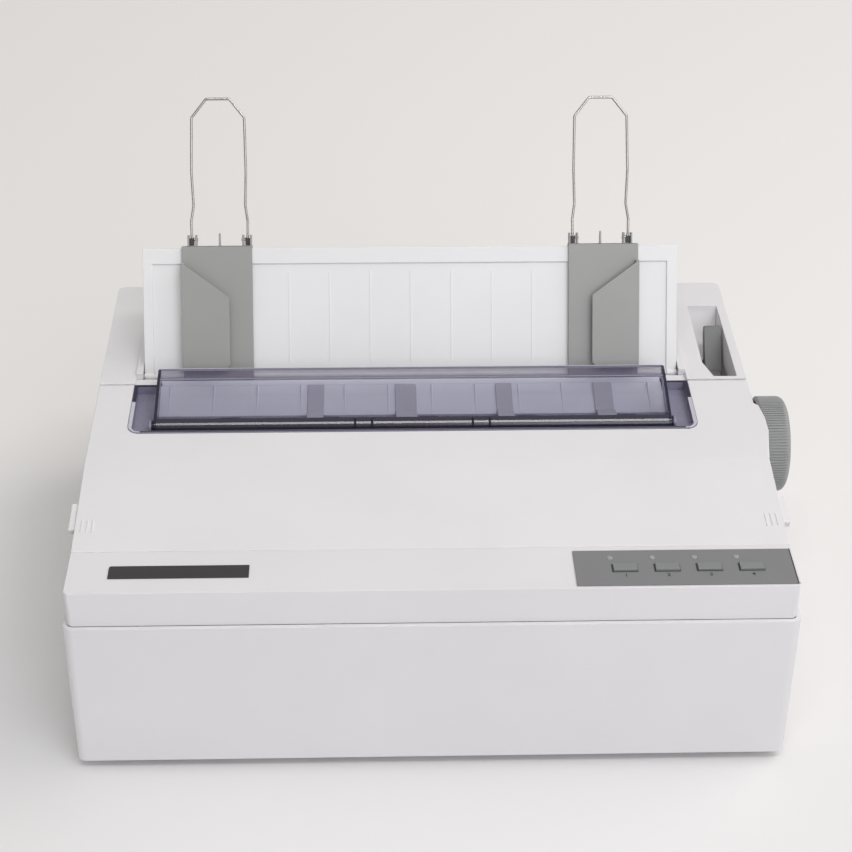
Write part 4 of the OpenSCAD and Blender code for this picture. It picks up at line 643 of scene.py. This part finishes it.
def lidRoll(size):
    # The roll in near opaque dark smoke: painted shade for the dark inside seen through the lid
    return shadeSoft(lidStrip("lidRoll", size, 0, -2), 24)


def lidRibs(size):
    # Two pairs of short dark ribs across the roll
    radii = (size["roll"] + size["ribHeight"], size["roll"] - 0.05)
    ring = [[onCircle(size["pivot"], radius, degrees) for radius in radii] for degrees in range(106, 233, 9)]
    places = [size["middle"] + offset for offset in size["ribs"]]
    ribs = [sideStrip("lidRib", ring, x - size["ribHalf"], x + size["ribHalf"]) for x in places]
    return shadeSoft(joined("lidRibs", *ribs), 24)


def lidEnds(size):
    # The end cheeks, darkened as painted shade, and their pins
    (py, pz), (fy, fz), (ey, ez) = size["pivot"], size["fold"], size["end"]
    outline = [onCircle(size["pivot"], size["roll"] - 0.1, degrees) for degrees in range(106, 291, 8)]
    outline += [(py + 30, pz + 4.5), (ey - 2, ez - 5), (ey - 0.3, ez - 0.4), (fy - 0.2, fz - 0.25)]
    pieces, half = [], size["thick"] / 2
    for side in (-1, 1):
        face = size["middle"] + side * size["half"]
        tip, middle = face + side * size["pinLength"], face - side * half
        cheek = prism("lidCheek", outline, middle - half, middle + half, alongX)
        pin = lathe("lidPin", [(face, 0), (face, size["pin"]), (tip, size["pin"]), (tip, 0)],
                    size["pivot"], 24)
        pieces += [roundEdges(cheek, 0.35 * mm), pin]
    return shadeSoft(joined("lidEnds", *pieces))


def lidFold(size):
    (fy, fz), line, wide = size["fold"], size["foldLine"], size["half"] - size["thick"]
    outline = [(fy - line, fz - 0.4), (fy + line, fz - 0.4), (fy + line, fz + 0.12), (fy - line, fz - 0.1)]
    return shadeSoft(prism("lidFold", outline, size["middle"] - wide, size["middle"] + wide, alongX))


def lidRim(size):
    # The cut rear edge, in a light smoke: a painted highlight along it
    (ey, ez), wide = size["end"], size["half"] - size["rimInset"]
    outline = flatBox(ey - 0.5, ey + 0.06, ez - size["thick"] + 0.1, ez + 0.04)
    return softPrism("lidRim", outline, size["middle"] - wide, size["middle"] + wide, alongX, 0.12, 2)


dress(smokedLid(lid), "smoke_lid", "smoke", "smoke", "smoke_lid")
for make, finish in ((lidFlap, "smokeFlap"), (lidRoll, "smokeRollPaintedShade"), (lidRibs, "smokeRib"),
                     (lidFold, "smokeTray"), (lidEnds, "smokeEndPaintedShade"), (lidRim, "smokePaintedHighlight")):
    dress(make(lid), "smoke_lid", finish, "smoke")
print("smoked lid made")


# Tray: a bead and a strip round each front corner in light smoke, as painted highlight and painted
# reflection, and a dark front rim and dark rear corners as painted shade
trayEdge = {"left": -183.3, "right": 167.3, "front": 146.5, "corner": 8, "inset": 1.1, "bead": 0.3,
            "dark": (0.5, 2.35), "stripTo": 180, "stripWide": 2.3, "stripEnd": 0.7, "edge": 0.3,
            "darkTo": 199, "darkDeep": 1.3, "bearing": (159.95, 161.3, 4.1), "bearingDrop": 4.6,
            "wallInset": 2.4, "wallFrom": 0.1, "wallTo": 1.4, "deep": 7.2}


def tubeTree(name, material):
    # A round bar along the edges of a mesh, with its corners bent
    tree, given, out = nodeTree(name, [("Bar radius", "NodeSocketFloat"), ("Bend radius", "NodeSocketFloat")])
    line = tree.nodes.new("GeometryNodeMeshToCurve")
    bend = tree.nodes.new("GeometryNodeFilletCurve")
    bend.mode = "POLY"
    bend.inputs["Count"].default_value = 5
    section = tree.nodes.new("GeometryNodeCurvePrimitiveCircle")
    section.inputs["Resolution"].default_value = 16
    tube = tree.nodes.new("GeometryNodeCurveToMesh")
    tube.inputs["Fill Caps"].default_value = True
    linkAll(tree.links, (given.outputs["Geometry"], line.inputs["Mesh"]),
            (line.outputs["Curve"], bend.inputs["Curve"]),
            (given.outputs["Bend radius"], bend.inputs["Radius"]),
            (given.outputs["Bar radius"], section.inputs["Radius"]),
            (bend.outputs["Curve"], tube.inputs["Curve"]),
            (section.outputs["Curve"], tube.inputs["Profile Curve"]))
    closeTree(tree, tube.outputs["Mesh"], material, out)
    return tree


def barAlong(name, points, tree, radius, bend):
    mesh = bpy.data.meshes.new(name)
    mesh.from_pydata([tuple(p) for p in points], [(i, i + 1) for i in range(len(points) - 1)], [])
    made = runTree(addObject(name, mesh), tree, {"Bar radius": radius * mm, "Bend radius": bend * mm})
    return shadeSoft(outward(made), 60)


def trayBead(size):
    # A light bead round each front corner: a painted highlight
    inset, corner = size["inset"], size["corner"] - size["inset"]
    turns, front = [math.radians(9 * i) for i in range(11)], size["front"] + inset
    tree, bars = tubeTree("trayBeadTube", mats["smokePaintedHighlight"]), []
    for side, edge in ((1, size["left"] + inset), (-1, size["right"] - inset)):
        path = [(edge, size["stripTo"])]
        path += [(edge + side * corner * (1 - math.cos(a)), front + corner * (1 - math.sin(a)))
                 for a in turns]
        bars.append(barAlong("trayBead", [onCover(x, y, size["bead"]) for x, y in path],
                             tree, size["bead"], 0))
    return joined("trayBead", *bars)


def trayFront(size):
    # Darker top of the rim along the front: painted shade
    near, far = (size["front"] + inset for inset in size["dark"])
    outline = flatBox(size["left"] + size["corner"], size["right"] - size["corner"], near, far)
    return softPrism("trayFront", outline, -0.2, 0.45, onCover, 0.12, 2)


def trayStrips(size):
    # Painted reflections: light strips on the rim, from the side round the front corners, that get narrower
    # towards the end
    corner, gap, start, strips = size["corner"], size["edge"], size["stripTo"], []
    for side, edge in ((1, size["left"]), (-1, size["right"])):
        centre = (edge + side * corner, size["front"] + corner)
        outer, inner = [(edge + side * gap, start)], [(edge + side * (gap + size["stripWide"]), start)]
        for i in range(9):
            turn = math.radians(9 * i)
            wide = size["stripWide"] + (size["stripEnd"] - size["stripWide"]) * i / 8
            for path, r in ((outer, corner - gap), (inner, corner - gap - wide)):
                path.append((centre[0] - side * r * math.cos(turn), centre[1] - r * math.sin(turn)))
        strips.append(prism("trayStrip", outer + inner[::-1], -0.2, 0.46, onCover))
    return shadeSoft(roundEdges(joined("trayStrips", *strips), 0.12 * mm, 2))


def trayEnds(size):
    # Painted shade: dark rear part of the rim, the bar along the rear edge and the bearings of the lid
    half, start, pieces = lid["half"] + 0.7, size["stripTo"] + 0.1, []
    first, last, radius = size["bearing"]
    (py, pz), rear = lid["pivot"], size["darkTo"]
    for side, edge in ((1, size["left"]), (-1, size["right"])):
        out, wall = edge + side * 0.4, edge + side * (0.4 + size["stripWide"])
        front, end = rear - size["darkDeep"], lid["middle"] - side * half
        outline = [(out, start), (wall, start), (wall, front), (end, front), (end, rear), (out, rear)]
        pieces.append(roundEdges(prism("trayEnd", outline, -0.3, 0.5, onCover), 0.2 * mm, 2))
        ring = [onCircle(lid["pivot"], radius, degrees) for degrees in range(0, 181, 12)]
        outline = [(py + radius, pz - size["bearingDrop"])] + ring + [(py - radius, pz - size["bearingDrop"])]
        ends = sorted((lid["middle"] - side * first, lid["middle"] - side * last))
        pieces.append(roundEdges(prism("lidBearing", outline, *ends, alongX), 0.3 * mm, 2))
    return shadeSoft(joined("trayEnds", *pieces))


def trayWalls(size):
    # Rear end walls of the tray, on both sides of the lid
    walls, rear, top = [], size["darkTo"], coverTop(size["darkTo"])
    outline = flatBox(rear - size["wallTo"], rear - size["wallFrom"], top - size["deep"], top - 0.2)
    for side, edge in ((1, size["left"]), (-1, size["right"])):
        ends = sorted((edge + side * size["wallInset"], lid["middle"] - side * (lid["half"] + 1)))
        walls.append(prism("trayWall", outline, *ends, alongX))
    return shadeSoft(joined("trayWalls", *walls))


for make, finish in ((trayWalls, "smokeTray"), (trayBead, "smokePaintedHighlight"), (trayFront, "smokeRimPaintedShade"),
                     (trayStrips, "smokePaintedHighlight"), (trayEnds, "smokeEndPaintedShade")):
    dress(make(trayEdge), "front_cover", finish, "smoke")
print("tray edges made")


# Operator panel: painted shade as dark strips round the buttons and a dark line at its right edge, lenses and
# plain numbers
panel = {"right": 204.1, "front": 5.2, "rear": 37, "thick": 0.8, "slope": (3.6, 124.7, 1.2),
         "buttonX": 108.2, "buttonY": 20.7, "buttonPitch": 23.9, "buttonWide": 13.6, "buttonDeep": 6.4,
         "gapLeft": 0.9, "gapFront": 0.75, "gapRight": 0.35, "gapRear": 0.2, "overlap": 0.04,
         "line": (0.75, 0.05), "lightX": 100.5, "lightY": 30.1, "lightPitch": 24, "lightRadius": 1.8,
         "lightDeep": 2.4, "numberSize": 3.6, "numberBold": 0.07, "numberWide": 1.15, "numberDrop": 1.1}


def bandTop(y):
    y0, z0, slope = panel["slope"]
    return z0 + (y - y0) * math.tan(math.radians(slope))


def onPanel(x, y, up):
    return at(x, y, bandTop(y) + panel["thick"] + up)


def panelTrim(size):
    # Flat black strips paint the shade in the gaps round each button
    pieces, lap = [], size["overlap"]
    for i in range(4):
        x, y = size["buttonX"] + i * size["buttonPitch"], size["buttonY"]
        left, right = x - size["buttonWide"] / 2, x + size["buttonWide"] / 2
        front, rear = y - size["buttonDeep"] / 2, y + size["buttonDeep"] / 2
        outLeft, outRight = left - size["gapLeft"], right + size["gapRight"]
        outFront, outRear = front - size["gapFront"], rear + size["gapRear"]
        for sides in ((outLeft, left - lap, outFront, outRear), (left - lap, outRight, outFront, front - lap),
                      (right + lap, outRight, front - lap, outRear)):
            pieces.append(prism("buttonGap", flatBox(*sides), -0.1, 0.03, onPanel))
    # Painted shadow along the panel's right edge
    start, end = (size["right"] - inset for inset in size["line"])
    pieces.append(prism("panelLine", flatBox(start, end, size["front"], size["rear"]), -0.1, 0.04, onPanel))
    return joined("panelTrim", *pieces)


def panelNumbers(size):
    pieces = []
    for i in range(4):
        curve = bpy.data.curves.new("number", "FONT")
        curve.body, curve.size, curve.offset = str(i + 1), size["numberSize"], size["numberBold"]
        curve.align_x, curve.align_y = "CENTER", "TOP"
        curve.resolution_u = 3
        flat = baked(addObject("number", curve))
        x = size["buttonX"] + i * size["buttonPitch"]
        y = size["buttonY"] - size["buttonDeep"] / 2 - size["gapFront"] - size["numberDrop"]
        for vertex in flat.data.vertices:
            vertex.co = onPanel(x + vertex.co.x * size["numberWide"], y + vertex.co.y, 0.04)
        pieces.append(flat)
    return joined("panelNumbers", *pieces)


def turnedUp(name, profile, steps=32):
    # Turns a (radius, height) outline round Z, at the origin
    points, faces, count = [], [], len(profile)
    for i in range(steps):
        angle = 2 * math.pi * i / steps
        points += [Vector((r * math.cos(angle), r * math.sin(angle), z)) * mm for r, z in profile]
    for i in range(steps):
        for k in range(count - 1):
            a, b = i * count, ((i + 1) % steps) * count
            faces.append((a + k, b + k, b + k + 1, a + k + 1))
    return outward(meshObject(name, points, faces))


def panelLenses(size):
    r, deep = size["lightRadius"], size["lightDeep"]
    dome = [(0, 0.42), (r * 0.35, 0.41), (r * 0.6, 0.36), (r * 0.82, 0.25), (r * 0.95, 0.12), (r, 0),
            (r, -deep), (0, -deep)]
    places = [onPanel(size["lightX"] + i * size["lightPitch"], size["lightY"], 0) for i in range(4)]
    return shadeSoft(copiesOnPoints("panelLenses", places, turnedUp("lens", dome), mats["light_lens"]), 40)


dress(panelTrim(panel), bodyOf["operator_panel"], "clipBlack", "panel_grey")
dress(panelNumbers(panel), bodyOf["operator_panel"], "markBlack", "panel_grey")
dress(panelLenses(panel), bodyOf["status_lights"], "light_lens", "light_lens", "status_lights")
print("panel trim, lenses and numbers made")


# Name plate: bare, with a rounded upper left corner
badge = {"left": -182, "wide": 78.8, "front": 16.4, "deep": 11.3, "thick": 0.6, "corner": 1.5}


def onBand(x, y, up):
    return at(x, y, bandTop(y) + up)


def namePlate(size):
    left, right, front, rear = (size["left"], size["left"] + size["wide"],
                                size["front"], size["front"] + size["deep"])
    corner, turns = size["corner"], [math.radians(15 * i) for i in range(7)]
    bend = [(left + corner - corner * math.cos(a), rear - corner + corner * math.sin(a)) for a in turns]
    outline = [(left, front), (right, front), (right, rear)] + bend[::-1]
    return softPrism("namePlate", outline, 0.02, size["thick"], onBand, 0.22)


dress(namePlate(badge), bodyOf["name_badge"], "badge_dark", "badge_dark", "name_badge")
print("name plate made")


# Shelves of the case that close the well beside the paper table
wellShelf = {"walls": (-183.3, 167.3), "ends": (-178.9, 162.9), "from": 210.2, "to": 262, "foot": 138.7,
             "top": (143.1, 143.9), "thick": 2.4, "footThick": 3}


def wellShelves(size):
    shelves, (z0, z1), thick, front, rear = [], size["top"], size["thick"], size["from"], size["to"]
    back, foot = front + size["footThick"], size["foot"]
    outline = [(front, foot), (back, foot), (back, z0 - thick), (rear, z1 - thick), (rear, z1), (front, z0)]
    for ends in zip(size["walls"], size["ends"]):
        shelves.append(prism("wellShelf", outline, *sorted(ends), alongX))
    return shadeSoft(roundEdges(joined("wellShelves", *shelves), 0.3 * mm, 2))


dress(wellShelves(wellShelf), bodyOf["upper_case"], "shell_white", "shell_white")

# Liner of the lever slot: a curved white ramp behind the lever
slotLiner = {"left": 180.1, "right": 199.3, "rear": 291.7, "top": 144.3, "thick": 1.4,
             "curve": [(0, 0), (-0.5, -2.2), (-1.6, -5.5), (-3.6, -10), (-6.4, -14.8), (-10, -19),
                       (-14.5, -22.6), (-20, -25.4), (-26, -27)],
             "pivot": (236, 100), "shield": 23.4, "shieldThick": 1.6, "shieldFrom": 181.2, "shieldTo": 195.6,
             "shieldTurn": range(4, 129, 4), "web": (189, 191)}


def leverRamp(size):
    rear, top = size["rear"], size["top"]
    pairs = [[(rear + dy, top + dz), (rear + dy + 0.2, top + dz - size["thick"])] for dy, dz in size["curve"]]
    return shadeSoft(sideStrip("leverRamp", pairs, size["left"], size["right"]), 50)


def leverShield(size):
    # A curved shield on the lever that keeps the slot closed round it as it swings
    pivot, outer, inner = size["pivot"], size["shield"], size["shield"] - size["shieldThick"]
    pairs = [[onCircle(pivot, radius, degrees) for radius in (outer, inner)]
             for degrees in size["shieldTurn"]]
    shell = sideStrip("leverShield", pairs, size["shieldFrom"], size["shieldTo"])
    fan = [pivot] + [onCircle(pivot, inner + 0.2, degrees) for degrees in size["shieldTurn"]]
    web = prism("leverWeb", fan, *size["web"], alongX)
    return shadeSoft(roundEdges(joined("leverShield", shell, web), 0.25 * mm, 2))


dress(leverRamp(slotLiner), bodyOf["upper_case"], "shell_white", "shell_white")
dress(leverShield(slotLiner), bodyOf["release_lever"], "leverGrey", "guide_grey")
print("slot liner made")


# Roller arms on the exit guide: four flat grey arms under the lid
rollerArms = {"spots": ((-69, 10.4), (-12, 13.4), (50.4, 10.4), (113.6, 12)), "thick": 0.9,
              "line": [(170, 133.2), (177, 132.5), (184, 128.9), (207, 135.2)],
              "lip": [(208.1, 133.4), (213.1, 134.6), (213.1, 136.1), (208.1, 134.9)], "lipHalf": 159.2}


def guideArms(size):
    # From the top of the guide over the exit rollers
    outline = size["line"] + [(y, z + size["thick"]) for y, z in reversed(size["line"])]
    arms = [prism("guideArm", outline, middle - wide / 2, middle + wide / 2, alongX)
            for middle, wide in size["spots"]]
    return shadeSoft(roundEdges(joined("guideArms", *arms), 0.3 * mm))


def guideLip(size):
    # The guide's rear lip, which ends just before the paper table
    middle, half = lid["middle"], size["lipHalf"]
    return softPrism("guideLip", size["lip"], middle - half, middle + half, alongX, 0.3)


dress(guideArms(rollerArms), bodyOf["exit_guide"], "armGrey", "guide_grey")
dress(guideLip(rollerArms), bodyOf["exit_guide"], "guideWhite", "guide_grey")
print("roller arms made")


# Wire supports: one bent steel wire each, that folds down in its guide
wire = {"width": 35.4, "radius": 0.85, "pin": 86.5, "level": -1, "height": 94, "bend": 2.2,
        "middles": {"left": -129.2, "right": 113.2}, "clip": (-1.5, 1.3, 3.8, 0.9, 1.5)}


def wireSupport(name, middle, size, tree):
    half, pin, level, top = size["width"] / 2, size["pin"], size["level"], size["pin"] + size["height"]
    leg = [(half - 4, pin, level), (half, pin, level), (half + 0.2, pin + 11.3, level),
           (half - 1.3, pin + 21.4, level - 1.6), (half - 0.5, pin + 42.6, level + 0.6),
           (half - 1.1, top - 17.4, level), (half - 10.4, top - 5.7, level)]
    route = leg + [(-u, v, w) for u, v, w in reversed(leg)]
    return barAlong(name, [onTable(middle + u, v, w) for u, v, w in route], tree, size["radius"],
                    size["bend"])


def wireClips(name, middle, size):
    # Dark feet that the ends of the wire are moulded into
    inner, outer, below, above, deep = size["clip"]
    clips = []
    for side in (-1, 1):
        leg = middle + side * size["width"] / 2
        ends = sorted((leg + side * inner, leg + side * outer))
        outline = flatBox(*ends, size["pin"] - below, size["pin"] + above)
        clips.append(prism("wireClip", outline, size["level"] - deep, size["level"] + deep, onTable))
    return shadeSoft(roundEdges(joined(name, *clips), 0.3 * mm))


wireTube = tubeTree("wireTube", mats["wire_steel"])
for side, middle in wire["middles"].items():
    dress(wireSupport("wireSupport_" + side, middle, wire, wireTube), "wire_" + side, "wire_steel",
          "wire_steel", "wire_support_" + side)
    dress(wireClips("wireClips_" + side, middle, wire), "wire_" + side, "clipBlack", "black_plastic")
print("wire supports made")


# Camera: place in mm, angles in degrees, focal length and picture width in pixels
cameraFit = {"place": (-42.15, -1039.85, 787.4), "yaw": -1.83, "pitch": 32.24, "roll": 0.45, "focal": 1979.9,
             "picture": 852}


def addCamera(fit):
    pitch, roll = math.radians(fit["pitch"]), math.radians(fit["roll"])
    ahead = Vector((0, math.cos(pitch), -math.sin(pitch)))
    side, up = Vector((1, 0, 0)), Vector((0, math.sin(pitch), math.cos(pitch)))
    right = side * math.cos(roll) + up * math.sin(roll)
    top = up * math.cos(roll) - side * math.sin(roll)
    turn = Matrix((right, top, -ahead)).transposed()
    turn = Matrix.Rotation(math.radians(fit["yaw"]), 3, "Z") @ turn
    camera = addObject("camera", bpy.data.cameras.new("camera"))
    camera.matrix_world = Matrix.Translation(Vector(fit["place"]) * mm) @ turn.to_4x4()
    camera.data.sensor_fit = "HORIZONTAL"
    camera.data.sensor_width = 36
    camera.data.lens = 36 * fit["focal"] / fit["picture"]
    camera.data.clip_start, camera.data.clip_end = 0.05, 30
    bpy.context.scene.camera = camera


addCamera(cameraFit)

# Lamps in watts and metres, aimed at a height over the origin, and the stage
lamps = {
    "keyLight": {"place": (2.0, 0.4, 2.4), "aim": 0.1, "size": (2.4, 2.4), "power": 31,
                 "colour": (1, 0.965, 0.925)},
    "fillLight": {"place": (0.9, -2.2, 1.4), "aim": 0.1, "size": (1.6, 1.6), "power": 20,
                  "colour": (0.86, 0.9, 1)},
    "stripLight": {"place": (0.3, -1.2, 2.6), "aim": 0.12, "size": (2.3, 0.32), "power": 24,
                   "colour": (1, 1, 1)},
}
studio = {"sky": 0.43, "backdrop": srgb(236, 234, 232), "floorFront": srgb(226, 225, 224),
          "floorRear": srgb(240, 237, 235), "floorBlend": (-0.5, 0.3), "floorRough": 0.6, "glow": 0.1,
          "glowFrom": (0.1, 1.4), "fadeFrom": (1.6, 3.2)}


def addLamp(name, setup):
    lamp = addObject(name, bpy.data.lights.new(name, "AREA"))
    lamp.data.size, lamp.data.size_y = setup["size"]
    if setup["size"][0] != setup["size"][1]:
        lamp.data.shape = "RECTANGLE"
    lamp.data.energy, lamp.data.color = setup["power"], setup["colour"]
    lamp.location = setup["place"]
    ahead = Vector((0, 0, setup["aim"])) - Vector(setup["place"])
    lamp.rotation_euler = ahead.to_track_quat("-Z", "Y").to_euler()


def addSky(setup):
    # Even white light, and the pale backdrop where the camera looks past the floor
    world = bpy.data.worlds.new("studio")
    bpy.context.scene.world = world
    world.use_nodes = True
    nodeSet, links = world.node_tree.nodes, world.node_tree.links
    sky = nodeSet["Background"]
    sky.inputs["Color"].default_value = (1, 1, 1, 1)
    sky.inputs["Strength"].default_value = setup["sky"]
    seen = newNode(nodeSet, "ShaderNodeBackground", {"Color": setup["backdrop"]})
    rays = newNode(nodeSet, "ShaderNodeLightPath")
    swap = newNode(nodeSet, "ShaderNodeMixShader")
    linkAll(links, (rays.outputs["Is Camera Ray"], swap.inputs[0]), (sky.outputs[0], swap.inputs[1]),
            (seen.outputs[0], swap.inputs[2]), (swap.outputs[0], nodeSet["World Output"].inputs["Surface"]))


def paleFloor(setup):
    mat, nodeSet, links, bsdf, place = newMaterial("paleFloor")
    axes = newNode(nodeSet, "ShaderNodeSeparateXYZ")
    far = newNode(nodeSet, "ShaderNodeVectorMath", operation="LENGTH")
    rays = newNode(nodeSet, "ShaderNodeLightPath")
    linkAll(links, (place.outputs["Object"], axes.inputs["Vector"]), (place.outputs["Object"], far.inputs[0]))
    # Painted light and shade: the floor's colour is darker at the front and lighter at the rear
    blend = between(nodeSet, links, axes.outputs["Y"], 0, 1, *setup["floorBlend"])
    links.new(twoColours(nodeSet, links, blend, setup["floorFront"], setup["floorRear"]),
              bsdf.inputs["Base Color"])
    bsdf.inputs["Roughness"].default_value = setup["floorRough"]
    # The far floor glows a little for the camera and in reflections
    glow = newNode(nodeSet, "ShaderNodeEmission", {"Color": (1, 0.985, 0.97, 1)})
    strength = between(nodeSet, links, axes.outputs["Y"], 0, setup["glow"], *setup["glowFrom"])
    links.new(strength, glow.inputs["Strength"])
    seen = newNode(nodeSet, "ShaderNodeMath", operation="MAXIMUM")
    noGlow = newNode(nodeSet, "ShaderNodeBsdfTransparent", {"Color": (0, 0, 0, 1)})
    pick = newNode(nodeSet, "ShaderNodeMixShader")
    both = newNode(nodeSet, "ShaderNodeAddShader")
    linkAll(links, (rays.outputs["Is Camera Ray"], seen.inputs[0]),
            (rays.outputs["Is Glossy Ray"], seen.inputs[1]), (seen.outputs[0], pick.inputs[0]),
            (noGlow.outputs[0], pick.inputs[1]), (glow.outputs[0], pick.inputs[2]),
            (bsdf.outputs[0], both.inputs[0]), (pick.outputs[0], both.inputs[1]))
    # Far out the floor fades into the backdrop
    fade = newNode(nodeSet, "ShaderNodeMath", operation="MULTIPLY")
    backdrop = newNode(nodeSet, "ShaderNodeEmission", {"Color": setup["backdrop"]})
    swap = newNode(nodeSet, "ShaderNodeMixShader")
    linkAll(links, (between(nodeSet, links, far.outputs["Value"], 0, 1, *setup["fadeFrom"]), fade.inputs[0]),
            (rays.outputs["Is Camera Ray"], fade.inputs[1]), (fade.outputs[0], swap.inputs[0]),
            (both.outputs[0], swap.inputs[1]), (backdrop.outputs[0], swap.inputs[2]),
            (swap.outputs[0], nodeSet["Material Output"].inputs["Surface"]))
    return mat


for name, setup in lamps.items():
    addLamp(name, setup)
addSky(studio)
floor = meshObject("floor", [(-6, -6, 0), (6, -6, 0), (6, 6, 0), (-6, 6, 0)], [(0, 1, 2, 3)])
floor.data.materials.append(paleFloor(studio))

view = bpy.context.scene.view_settings
view.view_transform = "Standard"
print("camera, floor and lamps set")
